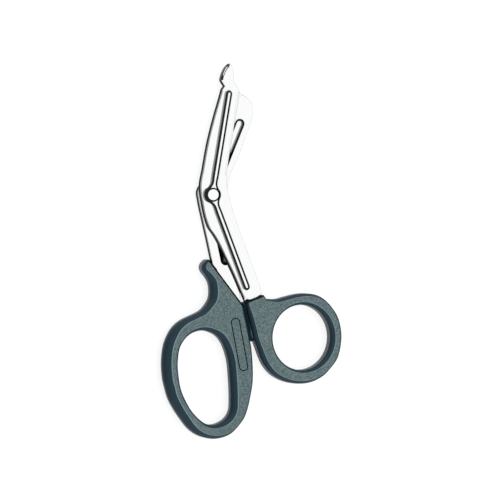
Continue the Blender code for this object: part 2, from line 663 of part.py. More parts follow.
upper = sheet_blade("upper_blade", upper_blade_outline(), -1.0, steel)
press_rib(upper, [blade_point(UPPER_BLADE_LEAN, UPPER_RIB_TOP, 0.0),
                  shank_point(UPPER_SHANK_LEAN, UPPER_RIB_BOTTOM, 0.0)], -1.0)
drill(upper, finger_post_place(), TANG_HOLE_RADIUS, -HANDLE_THICKNESS, HANDLE_THICKNESS, 16)

pin = rivet(rivet_steel)

finger = moulded("finger_handle", finger_outline(), [finger_hole()], -HALF_HANDLE, HALF_HANDLE,
                 plastic)
slot_for_tang(finger, finger_tang_box(PLAY, FINGER_ARM_TOP), -1.0, finger_post_place())
frame_line(finger)

thumb = moulded("thumb_handle", thumb_outline(), [thumb_hole()], -HALF_HANDLE, HALF_HANDLE,
                plastic)
combine(thumb, stop_ledge(plastic), "UNION")
slot_for_tang(thumb, thumb_tang_box(PLAY, THUMB_ARM_TOP), 1.0, thumb_post_place())

# The frame's origin is under the middle of the whole part, on the surface it lies on
corners = np.array([v.co for obj in (lower, upper, pin, finger, thumb) for v in obj.data.vertices])
low, high = corners.min(axis=0), corners.max(axis=0)
pivot = Vector((-(low[0] + high[0]) / 2, -(low[1] + high[1]) / 2, -low[2]))

fixed_side = bpy.data.objects.new("fixed_side", None)
moving_side = bpy.data.objects.new("moving_side", None)
for empty in (fixed_side, moving_side):
    bpy.context.collection.objects.link(empty)
fixed_side.location = pivot
moving_side.parent = fixed_side
for obj, parent in ((upper, fixed_side), (finger, fixed_side), (pin, fixed_side),
                    (lower, moving_side), (thumb, moving_side)):
    obj.parent = parent
    obj.data.shade_smooth()
    obj.data.set_sharp_from_angle(angle=math.radians(35))
bpy.context.view_layer.update()
print("pivot at", tuple(round(c, 5) for c in pivot))
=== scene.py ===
import json
import math

import bmesh
import bpy
import numpy as np
from mathutils import Matrix, Vector


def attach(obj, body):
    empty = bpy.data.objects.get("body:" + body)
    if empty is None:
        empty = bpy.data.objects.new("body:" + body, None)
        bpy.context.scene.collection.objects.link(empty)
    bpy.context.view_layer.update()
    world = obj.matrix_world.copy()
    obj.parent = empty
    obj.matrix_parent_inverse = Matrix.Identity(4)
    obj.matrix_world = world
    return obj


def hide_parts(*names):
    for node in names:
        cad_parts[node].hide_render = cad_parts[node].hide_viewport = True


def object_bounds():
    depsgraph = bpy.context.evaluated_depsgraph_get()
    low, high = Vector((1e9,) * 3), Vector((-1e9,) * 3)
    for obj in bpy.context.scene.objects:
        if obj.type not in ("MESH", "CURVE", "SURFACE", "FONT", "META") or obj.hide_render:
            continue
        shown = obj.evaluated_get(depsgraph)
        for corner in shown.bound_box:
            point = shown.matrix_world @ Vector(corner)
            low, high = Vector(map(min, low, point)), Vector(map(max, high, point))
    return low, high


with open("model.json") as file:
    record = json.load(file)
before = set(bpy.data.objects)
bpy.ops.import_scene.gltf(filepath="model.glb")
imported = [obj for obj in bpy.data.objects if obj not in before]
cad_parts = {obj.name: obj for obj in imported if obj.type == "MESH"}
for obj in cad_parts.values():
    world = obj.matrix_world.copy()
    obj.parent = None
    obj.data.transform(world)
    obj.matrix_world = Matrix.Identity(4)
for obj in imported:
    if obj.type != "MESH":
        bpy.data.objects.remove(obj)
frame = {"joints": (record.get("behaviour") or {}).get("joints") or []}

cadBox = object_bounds()
pivot = Vector(frame["joints"][0]["pos_m"])
print("stage 1: frame loaded, pivot at", tuple(round(c, 5) for c in pivot))


# Drawing in the plane, in metres round the pivot

def bladePoint(lean, distance, across):       # up a line that leans right of +Y
    a = math.radians(lean)
    return (distance * math.sin(a) + across * math.cos(a),
            distance * math.cos(a) - across * math.sin(a))


def shankPoint(lean, distance, across):       # down a line that leans right of -Y
    a = math.radians(lean)
    return (distance * math.sin(a) + across * math.cos(a),
            -distance * math.cos(a) + across * math.sin(a))


def shankPlace(lean, point):                  # the reverse of shankPoint
    a = math.radians(lean)
    x, y = point
    return x * math.sin(a) - y * math.cos(a), x * math.cos(a) + y * math.sin(a)


curveSteps = 24                # points laid between two given ones before they are spaced evenly
runSteps = {                   # how far apart the points of each kind of run stand
    "rib": 0.00042,
    "sole": 0.0004,
    "small": 0.0005,
    "side": 0.0010,
    "tang": 0.002,
    "pocket": 0.004,
    "grip": 0.0007,
    "collar": 0.0015,
}


def smoothRun(points, spacing, closed=False):
    # even points along a smooth curve; values after x and y are blended along it
    p = np.array(points, dtype=float)
    if len(p) == 2:
        steps = max(1, round(float(np.hypot(*(p[1] - p[0])[:2])) / spacing))
        t = np.linspace(0.0, 1.0, steps + 1)[:, None]
        return p[0] * (1 - t) + p[1] * t
    first, last = 0, len(p) - 1
    if closed:
        first, last = 2, len(p) + 2
        p = np.vstack([p[-2:], p, p[:3]])
    knots = np.concatenate([[0.0], np.cumsum(np.sqrt(np.hypot(*np.diff(p[:, :2], axis=0).T)))])
    slopes = np.gradient(p, knots, axis=0)
    dense = []
    for i in range(first, last):
        h = knots[i + 1] - knots[i]
        t = np.linspace(0.0, 1.0, curveSteps, endpoint=False)[:, None]
        dense.append((2 * t**3 - 3 * t**2 + 1) * p[i] + (t**3 - 2 * t**2 + t) * h * slopes[i]
                     + (-2 * t**3 + 3 * t**2) * p[i + 1] + (t**3 - t**2) * h * slopes[i + 1])
    dense = np.vstack(dense + [p[last:last + 1]])
    length = np.concatenate([[0.0], np.cumsum(np.hypot(*np.diff(dense[:, :2], axis=0).T))])
    steps = max(2, round(length[-1] / spacing))
    at = np.linspace(0.0, length[-1], steps + 1)
    run = np.column_stack([np.interp(at, length, dense[:, k]) for k in range(dense.shape[1])])
    return run[:-1] if closed else run


def joinRuns(runs):                           # smooth runs that meet at corners, as one loop
    loop = np.vstack([run[:-1] for run in runs])
    x, y = loop[:, 0], loop[:, 1]
    area = float(np.sum(x * np.roll(y, -1) - np.roll(x, -1) * y))
    return loop if area > 0 else loop[::-1]


def movedIn(loop, amounts):                   # each point of a loop goes inwards by its amount
    xy = loop[:, :2]
    before = xy - np.roll(xy, 1, axis=0)
    after = np.roll(xy, -1, axis=0) - xy
    before = before / np.linalg.norm(before, axis=1)[:, None]
    after = after / np.linalg.norm(after, axis=1)[:, None]
    mitre = np.column_stack([-before[:, 1] - after[:, 1], before[:, 0] + after[:, 0]])
    mitre /= np.maximum(np.sum(mitre * mitre, axis=1) / 2, 0.5)[:, None]
    return xy + mitre * np.broadcast_to(amounts, len(loop))[:, None]


def facing(loop, way=1.0):                    # 1 where a side faces left, 0 where it faces right
    along = np.roll(loop[:, :2], -1, axis=0) - np.roll(loop[:, :2], 1, axis=0)
    return (1 - way * along[:, 1] / np.linalg.norm(along, axis=1)) / 2


def awayFrom(points, start, end):             # how far points lie from a straight stretch
    a, b = np.array(start[:2]), np.array(end[:2])
    along = np.clip((points - a) @ (b - a) / np.sum((b - a) ** 2), 0.0, 1.0)
    return np.linalg.norm(points - a - along[:, None] * (b - a), axis=1)


corners = {
    "sharp": 0.35,             # a turn of that many radians counts as a corner
    "share": 0.85,             # how much of the room beside a corner a ring may use
    "nearest": 0.8,            # the least distance counted from a corner, as a share of a step
}


def easeCorners(loop, amounts, way=1.0):      # less near a corner, so that no ring folds there
    xy = loop[:, :2]
    before, after = xy - np.roll(xy, 1, axis=0), np.roll(xy, -1, axis=0) - xy
    cross = before[:, 0] * after[:, 1] - before[:, 1] * after[:, 0]
    turn = way * np.arctan2(cross, np.sum(before * after, axis=1))
    steps = np.linalg.norm(after, axis=1)
    along = np.concatenate([[0.0], np.cumsum(steps)[:-1]])
    for corner in np.flatnonzero(turn > corners["sharp"]):
        away = np.abs(along - along[corner])
        away = np.minimum(away, steps.sum() - away)
        nearest = corners["nearest"] * min(steps[corner], steps[corner - 1])
        room = math.tan((math.pi - turn[corner]) / 2) * np.maximum(away, nearest)
        limit = corners["share"] * room
        amounts = np.minimum(amounts, limit)
    return amounts


def ring(loop, amounts, z):                   # one level of a piece, in the frame's own place
    xy = movedIn(loop, amounts)
    z = np.broadcast_to(z, len(loop))
    places = np.column_stack([xy[:, 0] + pivot.x, xy[:, 1] + pivot.y, z + pivot.z])
    return np.clip(places, cadBox[0], cadBox[1])


def circle(centre, radius, count):
    turn = np.linspace(0.0, 2 * math.pi, count, endpoint=False)
    return np.column_stack([centre[0] + radius * np.cos(turn), centre[1] + radius * np.sin(turn)])


def slotShape(start, end, half, count=16):    # a slot with round ends
    heading = math.atan2(end[1] - start[1], end[0] - start[0])
    loop = []
    for centre, turn in ((end, -math.pi / 2), (start, math.pi / 2)):
        for i in range(count + 1):
            a = heading + turn + math.pi * i / count
            loop.append((centre[0] + half * math.cos(a), centre[1] + half * math.sin(a)))
    return np.array(loop)


# Modelling

levelSlack = 2e-6              # how far off a level an edge may lie and still belong to it
smoothAngle = 28               # degrees; steeper edges stay sharp


def activate(piece):
    bpy.ops.object.select_all(action="DESELECT")
    piece.select_set(True)
    bpy.context.view_layer.objects.active = piece


def drawStack(name, rings):
    # a circle is laid on the first ring, and its edge is extruded from ring to ring
    bpy.ops.object.select_all(action="DESELECT")
    bpy.ops.mesh.primitive_circle_add(vertices=len(rings[0]), radius=0.01, fill_type="NOTHING")
    piece = bpy.context.object
    piece.name = name
    for vert, place in zip(piece.data.vertices, rings[0]):
        vert.co = place
    bpy.ops.object.mode_set(mode="EDIT")
    bpy.ops.mesh.select_mode(type="EDGE")
    bpy.ops.mesh.select_all(action="SELECT")
    order = {i: i for i in range(len(rings[0]))}
    for places in rings[1:]:
        bpy.ops.mesh.extrude_edges_move()
        mesh = bmesh.from_edit_mesh(piece.data)
        mesh.verts.ensure_lookup_table()
        mesh.verts.index_update()
        found = {}
        for vert in mesh.verts:
            if vert.select:
                mate = next(e.other_vert(vert).index for e in vert.link_edges
                            if not e.other_vert(vert).select)
                found[vert.index] = order[mate]
                vert.co = places[order[mate]]
        order = found
        bmesh.update_edit_mesh(piece.data)
    bpy.ops.object.mode_set(mode="OBJECT")
    piece.data.transform(piece.matrix_world)
    piece.matrix_world = Matrix.Identity(4)
    return piece


def joinPieces(pieces):
    activate(pieces[0])
    for piece in pieces:
        piece.select_set(True)
    if len(pieces) > 1:
        bpy.ops.object.join()
    return pieces[0]


def fillLevel(piece, z):                      # closes the flat face between the open loops there
    activate(piece)
    bpy.ops.object.mode_set(mode="EDIT")
    bpy.ops.mesh.select_mode(type="EDGE")
    bpy.ops.mesh.select_all(action="DESELECT")
    mesh = bmesh.from_edit_mesh(piece.data)
    for edge in mesh.edges:
        if edge.is_boundary and all(abs(v.co.z - z - pivot.z) < levelSlack for v in edge.verts):
            edge.select_set(True)
    bmesh.update_edit_mesh(piece.data)
    bpy.ops.mesh.fill(use_beauty=True)
    bpy.ops.object.mode_set(mode="OBJECT")


def closePiece(piece, levels):
    for z in levels:
        fillLevel(piece, z)
    bpy.ops.object.mode_set(mode="EDIT")
    bpy.ops.mesh.select_all(action="SELECT")
    bpy.ops.mesh.normals_make_consistent(inside=False)
    bpy.ops.object.mode_set(mode="OBJECT")


def booleanWith(piece, tool, operation):
    activate(piece)
    cut = piece.modifiers.new("cut", "BOOLEAN")
    cut.operation = operation
    cut.solver = "MANIFOLD"
    cut.object = tool
    bpy.ops.object.modifier_apply(modifier=cut.name)
    bpy.data.objects.remove(tool)


def finishPiece(piece, materials, body, node):
    activate(piece)
    bpy.ops.object.shade_smooth_by_angle(angle=math.radians(smoothAngle))
    even = piece.modifiers.new("evenShade", "WEIGHTED_NORMAL")
    even.keep_sharp = True
    even.weight = 100
    bpy.ops.object.modifier_apply(modifier=even.name)
    piece.data.materials.clear()
    for material in materials:
        piece.data.materials.append(material)
    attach(piece, body)
    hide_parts(node)
    print("  ", piece.name, len(piece.data.polygons), "faces")


# Materials

def newGroup(name, inputs, outputs):          # an input without a value takes a vector
    group = bpy.data.node_groups.new(name, "ShaderNodeTree")
    for label, value in inputs.items():
        kind = "NodeSocketVector" if value is None else "NodeSocketFloat"
        socket = group.interface.new_socket(name=label, in_out="INPUT", socket_type=kind)
        if value is not None:
            socket.default_value = value
    for label in outputs:
        group.interface.new_socket(name=label, in_out="OUTPUT", socket_type="NodeSocketFloat")
    given, result = group.nodes.new("NodeGroupInput"), group.nodes.new("NodeGroupOutput")
    return group, given.outputs, result.inputs


def setInput(tree, socket, feed):             # a plain value, or the socket that feeds it
    if isinstance(feed, bpy.types.NodeSocket):
        tree.links.new(feed, socket)
    else:
        socket.default_value = feed


def addNode(tree, kind, feeds, operation=None):
    node = tree.nodes.new("ShaderNode" + kind)
    if operation:
        node.operation = operation
    for label, feed in feeds.items():
        setInput(tree, node.inputs[label], feed)
    return node


def makeGrainGroup():
    # fine pits of moulded plastic: a height, specks and a patchy mask
    group, given, result = newGroup(
        "fineGrain", {"Position": None, "Grain size": 0.0004, "Patch size": 0.006},
        ("Height", "Specks", "Patches"))
    place = given["Position"]
    grains, patches = [addNode(group, "Math", {0: 1.0, 1: given[label]}, "DIVIDE").outputs[0]
                       for label in ("Grain size", "Patch size")]
    pits = addNode(group, "TexVoronoi", {"Vector": place, "Scale": grains})
    pits.feature = "SMOOTH_F1"
    clouds = addNode(group, "TexNoise", {"Vector": place, "Scale": patches, "Detail": 4.0})
    fine = addNode(group, "TexNoise", {"Vector": place, "Scale": grains, "Detail": 2.0})
    both = addNode(group, "Math", {0: pits.outputs["Distance"], 1: fine.outputs["Fac"]}, "ADD")
    for label, socket in (("Height", both.outputs[0]), ("Specks", fine.outputs["Fac"]),
                          ("Patches", clouds.outputs["Fac"])):
        group.links.new(socket, result[label])
    return group


def makeBrushGroup():
    # fine lines along one heading, as a belt or a wheel leaves on steel
    group, given, result = newGroup(
        "brushLines", {"Position": None, "Heading": 0.0, "Line width": 0.0001,
                       "Line length": 0.006}, ("Lines",))
    turn = addNode(group, "VectorRotate", {"Vector": given["Position"], "Angle": given["Heading"]})
    turn.rotation_type = "Z_AXIS"
    size = addNode(group, "CombineXYZ", {"X": given["Line width"], "Y": given["Line length"],
                                         "Z": given["Line length"]})
    stretch = addNode(group, "VectorMath", {0: turn.outputs["Vector"], 1: size.outputs["Vector"]},
                      "DIVIDE")
    noise = addNode(group, "TexNoise", {"Vector": stretch.outputs["Vector"], "Scale": 1.0,
                                        "Detail": 3.0})
    group.links.new(noise.outputs["Fac"], result["Lines"])
    return group


def makeLevelGroup():
    # how level a place is, 0 on a wall and 1 on a face, as a mask that grows between two marks
    group, given, result = newGroup("surfaceLevel", {"Normal": None, "Starts": 0.0, "Full": 1.0},
                                    ("Mask",))
    split = addNode(group, "SeparateXYZ", {"Vector": given["Normal"]})
    level = addNode(group, "Math", {0: split.outputs["Z"]}, "ABSOLUTE")
    mask = addNode(group, "MapRange", {"Value": level.outputs[0], "From Min": given["Starts"],
                                       "From Max": given["Full"]})
    group.links.new(mask.outputs["Result"], result["Mask"])
    return group


grainGroup = makeGrainGroup()
brushGroup = makeBrushGroup()
levelGroup = makeLevelGroup()


def placeGroup(material, group, values):
    tree = material.node_tree
    node = tree.nodes.new("ShaderNodeGroup")
    node.node_tree = group
    coords = tree.nodes.new("ShaderNodeTexCoord")
    for label, output in (("Position", "Object"), ("Normal", "Normal")):
        if label in node.inputs:
            tree.links.new(coords.outputs[output], node.inputs[label])
    for label, value in values.items():
        node.inputs[label].default_value = value
    return node.outputs


def levelMask(material, starts, full):
    return placeGroup(material, levelGroup, {"Starts": starts, "Full": full})["Mask"]


def mapValue(material, socket, low, high, fromLow=0.3, fromHigh=0.7):
    node = addNode(material.node_tree, "MapRange",
                   {"Value": socket, "From Min": fromLow, "From Max": fromHigh, "To Min": low,
                    "To Max": high})
    return node.outputs["Result"]


def mixColours(material, mask, first, second):     # each is a colour or a socket
    tree = material.node_tree
    node = tree.nodes.new("ShaderNodeMix")
    node.data_type = "RGBA"
    for label, feed in (("Factor", mask), ("A", first), ("B", second)):
        setInput(tree, node.inputs[label], (*feed, 1.0) if isinstance(feed, tuple) else feed)
    return node.outputs["Result"]


def addBump(material, height, distance, strength):
    tree = material.node_tree
    bump = addNode(tree, "Bump", {"Height": height, "Distance": distance, "Strength": strength})
    tree.links.new(bump.outputs["Normal"], tree.nodes["Principled BSDF"].inputs["Normal"])


def newMaterial(name):
    material = bpy.data.materials.new(name)
    material.use_nodes = True
    return material, material.node_tree.nodes["Principled BSDF"], material.node_tree.links


plasticLook = {
    "face": (0.060, 0.110, 0.116),       # blasted faces, lighter than the sides with a painted sheen
    "faceSpecks": (0.174, 0.232, 0.234),
    "specksFrom": (0.38, 0.64),          # where in the grain the specks start and are full
    "side": (0.011, 0.037, 0.056),       # smooth sides where they are rounded, dark with painted shade
    "sideLowShade": (0.030, 0.031, 0.038),    # and where they stand straight, darker with painted shade
    "edge": (0.300, 0.400, 0.420),       # painted highlight round the faces, where the crease catches light
    "sideStarts": (0.05, 0.55),          # how level a place is, from 0 to 1, where each of
    "highlightStarts": (0.885, 0.925),        # them starts and is full
    "faceStarts": (0.965, 0.990),
    "faceRoughness": (0.50, 0.64),
    "sideRoughness": 0.42,
    "specular": 0.35,
    "grainSize": 0.0007,
    "grainDepth": 0.00010,
    "grainStrength": 0.8,
    "patchSize": 0.007,
}


def makePlastic(look):
    material, shader, links = newMaterial("slateMouldedPlastic")
    grain = placeGroup(material, grainGroup,
                       {"Grain size": look["grainSize"], "Patch size": look["patchSize"]})
    specks = mapValue(material, grain["Specks"], 0.0, 1.0, *look["specksFrom"])
    face = mixColours(material, specks, look["face"], look["faceSpecks"])
    # the sides take painted shade, darkest where they stand straight
    side = mixColours(material, levelMask(material, *look["sideStarts"]),
                      look["sideLowShade"], look["side"])
    # a painted highlight on the small round between face and shoulder
    paintedHighlight = mixColours(material, levelMask(material, *look["highlightStarts"]), side, look["edge"])
    # faces show their grain and a painted sheen, lighter than the shaded sides
    onFace = levelMask(material, *look["faceStarts"])
    links.new(mixColours(material, onFace, paintedHighlight, face), shader.inputs["Base Color"])
    patchy = mapValue(material, grain["Patches"], *look["faceRoughness"])
    rough = addNode(material.node_tree, "Mix",
                    {"Factor": onFace, "A": look["sideRoughness"], "B": patchy})
    links.new(rough.outputs["Result"], shader.inputs["Roughness"])
    shader.inputs["Specular IOR Level"].default_value = look["specular"]
    addBump(material, grain["Height"], look["grainDepth"], look["grainStrength"])
    return material


jointShadeLook = {                  # painted shade: the dark line of shadow in the gap where steel enters the plastic
    "colour": (0.002, 0.003, 0.003),
    "paler": (0.005, 0.007, 0.007),
    "roughness": (0.65, 0.85),
    "specular": 0.08,
    "grainSize": 0.0004,
    "patchSize": 0.004,
}


def makeJointShadePlastic(look):
    material, shader, links = newMaterial("shadedJointPlastic")
    grain = placeGroup(material, grainGroup,
                       {"Grain size": look["grainSize"], "Patch size": look["patchSize"]})
    patches = mapValue(material, grain["Patches"], 0.0, 1.0)
    links.new(mixColours(material, patches, look["colour"], look["paler"]),
              shader.inputs["Base Color"])
    links.new(mapValue(material, grain["Specks"], *look["roughness"]), shader.inputs["Roughness"])
    shader.inputs["Specular IOR Level"].default_value = look["specular"]
    return material


steelLook = {
    "colour": (0.572, 0.577, 0.58),
    "darker": (0.53, 0.534, 0.537),
    "slope": (0.016, 0.024, 0.026),      # painted dark reflection on slopes, where steel mirrors dark surroundings
    "reflectionFade": (0.88, 0.945),           # how level steel is where the painted dark reflection fades and is gone
    "roughness": (0.10, 0.17),
    "lineWidth": 0.00012,
    "lineLength": 0.008,
    "lineDepth": 0.000004,
    "lineStrength": 0.25,
}
grindLook = {
    "colour": (0.57, 0.575, 0.575),
    "darker": (0.47, 0.475, 0.48),
    "roughness": (0.16, 0.30),
    "lineWidth": 0.00009,
    "lineLength": 0.0035,
    "lineDepth": 0.00001,
    "lineStrength": 0.6,
}
# a dark steel for the steep faces by the sheet's edge: painted dark reflection and shade
edgeShadeLook = {
    "colour": (0.10, 0.10, 0.10),
    "darker": (0.04, 0.04, 0.042),
    "roughness": (0.35, 0.50),
    "lineWidth": 0.0003,
    "lineLength": 0.0003,
    "lineDepth": 0.00002,
    "lineStrength": 0.5,
}
rivetLook = {
    "colour": (0.58, 0.58, 0.58),
    "darker": (0.55, 0.55, 0.55),
    # the rim's slopes take the same painted dark reflection
    "slope": (0.016, 0.024, 0.026),
    "reflectionFade": (0.90, 0.985),
    "roughness": (0.08, 0.14),
    "lineWidth": 0.0002,
    "lineLength": 0.0004,
    "lineDepth": 0.000004,
    "lineStrength": 0.2,
}


def makeSteel(name, look, heading):
    material, shader, links = newMaterial(name)
    shader.inputs["Metallic"].default_value = 1.0
    lines = placeGroup(material, brushGroup,
                       {"Heading": math.radians(heading), "Line width": look["lineWidth"],
                        "Line length": look["lineLength"]})["Lines"]
    colour = mixColours(material, mapValue(material, lines, 0.0, 1.0),
                        look["colour"], look["darker"])
    # slopes take a painted dark reflection
    if "slope" in look:
        reflectionFade = levelMask(material, *look["reflectionFade"])
        colour = mixColours(material, reflectionFade, look["slope"], colour)
    links.new(colour, shader.inputs["Base Color"])
    links.new(mapValue(material, lines, *look["roughness"]), shader.inputs["Roughness"])
    addBump(material, lines, look["lineDepth"], look["lineStrength"])
    return material


plastic = makePlastic(plasticLook)
jointShadePlastic = makeJointShadePlastic(jointShadeLook)
edgeShadeSteel = makeSteel("shadedEdgeSteel", edgeShadeLook, 0.0)
print("stage 2: materials made")


# What both blades share
sheet = {
    "thickness": 0.0015,
    "play": 0.0003,            # between the blades
    "edgeLeast": 0.0002,       # round of the edge on sides that face right
    "footRound": 0.00065,
    "footShare": 3.0,          # how soon along the sole the raised foot takes over
    "flatStep": 0.00006,       # between the rings that lead onto the flat
    "groundRound": 0.00004,
    "land": 0.00035,
    "grindShoulder": 0.00128,  # where the steep cut of the edge ends
    "grindWidth": 0.0017,
    "toothPitch": 0.0010,
    "toothDepth": 0.00022,
    "ribHalf": 0.0026,
    "ribHeight": 0.00103,
    "hollowDepth": 0.00103,
    "hollowInset": 0.0001,
    "bossRadius": 0.0054,
    "bossCorner": 0.0010,      # where an arm of the rib runs into the boss
    "rivetHole": 0.00208,
    "tangHole": 0.0013,
}
slide = sheet["play"] / 2
outerFace = slide + sheet["thickness"]
bossTop = outerFace + sheet["ribHeight"]
# across the rib: how far in from its foot, and how high, as shares
ribProfile = ((0, 0.0000), (0.04, 0.0041), (0.08, 0.0155), (0.14, 0.0411), (0.24, 0.0935),
              (0.36, 0.1710), (0.48, 0.2646), (0.53, 0.3140), (0.58, 0.3769), (0.64, 0.4656),
              (0.74, 0.6193), (0.84, 0.7732), (0.92, 0.8963), (0.96, 0.9543), (0.985, 0.9856),
              (1, 1.0000))
hollowProfile = [(1 - a, 1 - h) for a, h in ribProfile[::-1]]
ribSlope = 0.0021
# down the inside of the raised foot: how far past the sheet's thickness, and what share of the way
footSteps = ((-0.00065, 0.0), (-0.00026, 0.08), (0.0, 0.3), (0.00004, 0.6), (0.00015, 0.85),
             (0.0004, 0.96), (0.0008, 1.0))
toothShape = (0.0, 0.62, 1.0, 0.62)
paint = {                      # how level a face is, and how near the outline, for the ground finish and for the painted edge shade
    "groundLevel": (0.3, 0.992),
    "groundReach": 0.0020,
    "edgeShadeLevel": 0.66,
    "edgeShadeReach": 0.0008,
}


def plain(points):
    return [(x, y, 0.0, 0.0, 0.0, 0.0) for x, y in points]


def cuttingEdge(start, end, teeth):
    a, b = np.array(start), np.array(end)
    count = round(float(np.hypot(*(b - a))) / sheet["toothPitch"])
    steps = len(toothShape) * count
    run = []
    for i in range(steps + 1):
        p = a + (b - a) * i / steps
        depth = sheet["toothDepth"] * toothShape[i % len(toothShape)] if teeth else 0.0
        run.append((p[0], p[1], sheet["grindWidth"], depth, 0.0, 0.0))
    return np.array(run)


def ribOutline(lean, top, shank, bottom, half, boss):
    # two arms with round ends, and the boss round the rivet between them
    root = math.sqrt(boss * boss - half * half)
    corner = sheet["bossCorner"]
    opening = math.asin(half / boss)
    upward = math.radians(90 - lean)
    downward = math.radians(-90 + shank)
    points = []
    for heading, length, following in ((upward, top, downward + 2 * math.pi),
                                       (downward + 2 * math.pi, bottom, upward + 2 * math.pi)):
        along = np.array([math.cos(heading), math.sin(heading)])
        right = np.array([along[1], -along[0]])
        side = np.linspace(root + corner, length - half, 12)
        points += [along * d + right * half for d in side]
        for i in range(1, 12):
            a = -math.pi / 2 + math.pi * i / 12
            points.append(along * (length - half + half * math.cos(a))
                          - right * half * math.sin(a))
        points += [along * d - right * half for d in side[::-1]]
        skip = corner / boss
        for a in np.linspace(heading + opening + skip, following - opening - skip, 9):
            points.append(np.array([boss * math.cos(a), boss * math.sin(a)]))
    return smoothRun(points, runSteps["rib"], closed=True)


def buildBlade(name, outline, ribs, side, hole, foot):
    # the sheet's edge all round, the pressed rib and its hollow, the two holes, then the flats
    grind, tooth, raised, bend = (outline[:, k] for k in (2, 3, 4, 5))
    thick = sheet["thickness"]
    ground = grind > 0
    left, least = facing(outline) ** 2, sheet["edgeLeast"]
    wide, tall, lowWide, lowTall = (least + (size - least) * left for size in
                                    foot["outerRound"] + foot["slideRound"])
    wide = easeCorners(outline, np.where(raised > 0, sheet["footRound"], wide))
    tall = np.where(raised > 0, sheet["footRound"], tall)
    lowWide = easeCorners(outline, np.maximum(lowWide, bend * foot["bend"]))
    lowWide = np.where(ground, sheet["groundRound"], lowWide)
    lowTall = np.where(ground, sheet["groundRound"], np.maximum(lowTall, bend * foot["bend"]))
    rim = thick + raised * (foot["height"] - thick)
    turns = np.radians(np.linspace(0.0, 90.0, 8))
    levels = [(lowWide * (1 - math.sin(a)) + tooth, lowTall * (1 - math.cos(a))) for a in turns]
    last = len(turns) - 1
    for i, a in enumerate(turns):
        t = i / last
        bevel = np.interp(t, (0.0, 2 / last, 1.0), (sheet["land"], sheet["grindShoulder"], thick))
        levels.append((np.where(ground, grind * t + tooth * (1 - t), wide * (1 - math.cos(a))),
                       np.where(ground, bevel, rim - tall * (1 - math.sin(a)))))
    share = np.clip(raised * sheet["footShare"], 0.0, 1.0)
    start = np.maximum(wide, grind)
    for step, (past, drop) in enumerate(footSteps, 1):
        flat = start + sheet["flatStep"] * step
        levels.append((flat * (1 - share) + (thick + past) * share, rim - drop * (rim - thick)))
    stacks = [drawStack(name, [ring(outline, a, side * (slide + z)) for a, z in levels])]
    lean, top, shank, bottom = ribs
    ridge = ribOutline(lean, top, shank, bottom, sheet["ribHalf"], sheet["bossRadius"])
    hollow = ribOutline(lean, top, shank, bottom, sheet["ribHalf"] - sheet["hollowInset"],
                        sheet["bossRadius"] - sheet["hollowInset"])
    for shape, base, rise, profile in ((ridge, outerFace, sheet["ribHeight"], ribProfile),
                                       (hollow, slide, sheet["hollowDepth"], hollowProfile)):
        stacks.append(drawStack("rib", [ring(shape, ribSlope * a, side * (base + rise * h))
                                        for a, h in profile]))
    bore = circle((0.0, 0.0), sheet["rivetHole"], 48)
    crest = slide + sheet["hollowDepth"]
    stacks.append(drawStack("bore", [ring(bore, 0.0, side * z)
                                     for z in np.linspace(crest, bossTop, 3)]))
    post = circle(hole, sheet["tangHole"], 32)
    stacks.append(drawStack("tangHole", [ring(post, 0.0, side * z)
                                         for z in np.linspace(slide, outerFace, 3)]))
    blade = joinPieces(stacks)
    closePiece(blade, [side * z for z in (slide, outerFace, bossTop, crest)])
    return blade


def paintEdges(blade, outline, side):
    # the ground bevel takes the second material; steep faces by the sheet's edge take the third, a
    # painted dark reflection and shade
    faces = blade.data.polygons
    centres = np.array([(f.center.x - pivot.x, f.center.y - pivot.y) for f in faces])
    for first in range(0, len(faces), 2000):
        part = centres[first:first + 2000]
        away = np.hypot(part[:, None, 0] - outline[None, :, 0],
                        part[:, None, 1] - outline[None, :, 1])
        nearest = away.argmin(axis=1)
        for i, point in enumerate(nearest):
            face = faces[first + i]
            lift = abs(face.normal.z)
            height = side * (face.center.z - pivot.z)
            if outline[point, 2] > 0:
                least, most = paint["groundLevel"]
                near = height < outerFace and away[i, point] < paint["groundReach"]
                if near and least < lift < most:
                    face.material_index = 1
            # steep faces near the edge take the painted dark reflection and shade
            elif lift < paint["edgeShadeLevel"] and away[i, point] < paint["edgeShadeReach"]:
                face.material_index = 2


# Lower blade: the one in front, with the blunt foot
lowerBlade = {
    "lean": 9.6,
    "shankLean": 21.0,
    "edgeOffset": 0.0059,
    "edgeStart": 0.0115,
    "edgeEnd": 0.0535,
    "ribTop": 0.0544,
    "ribBottom": 0.0524,
    "nose": ((0.0021, 0.0045), (0.0037, 0.0026), (0.0057, 0.0013), (0.0097, 0.0006),
             (0.0123, -0.0005), (0.0134, -0.0019)),
    "sole": ((0.0134, -0.0019), (0.0131, -0.0031), (0.0112, -0.0046), (0.0080, -0.0057),
             (0.0050, -0.0060), (0.0037, -0.0057)),
    "notch": ((0.0037, -0.0057), (0.0015, -0.0036)),
    "nick": ((0.0015, -0.0036), (-0.0003, -0.0045)),
    "spine": ((0.0532, -0.0045), (0.0499, -0.0048), (0.0374, -0.0063), (0.0248, -0.0073),
              (0.0125, -0.0075), (0.0030, -0.0075)),
    "heel": ((0.0030, -0.0071), (0.0090, -0.0080), (0.0146, -0.0080), (0.0184, -0.0070),
             (0.0225, -0.0062), (0.0315, -0.0053), (0.0418, -0.0044), (0.0563, -0.0038)),
    "flank": ((0.0563, 0.0061), (0.0520, 0.0069), (0.0320, 0.0069), (0.0150, 0.0071),
              (0.0056, 0.0077)),
    "shoulder": (0.0062, 0.0067),
    "tangLeft": 0.0022,
    "tangRight": 0.0040,
    "tangLength": 0.0110,
    "post": 0.0632,            # where the plastic's post goes through the tang
}
# rounds of the sheet's edge on sides that face left: how far in, and how high
foot = {"height": 0.0048, "bend": 0.0010, "outerRound": (0.0024, 0.00115),
        "slideRound": (0.0004, 0.0003)}


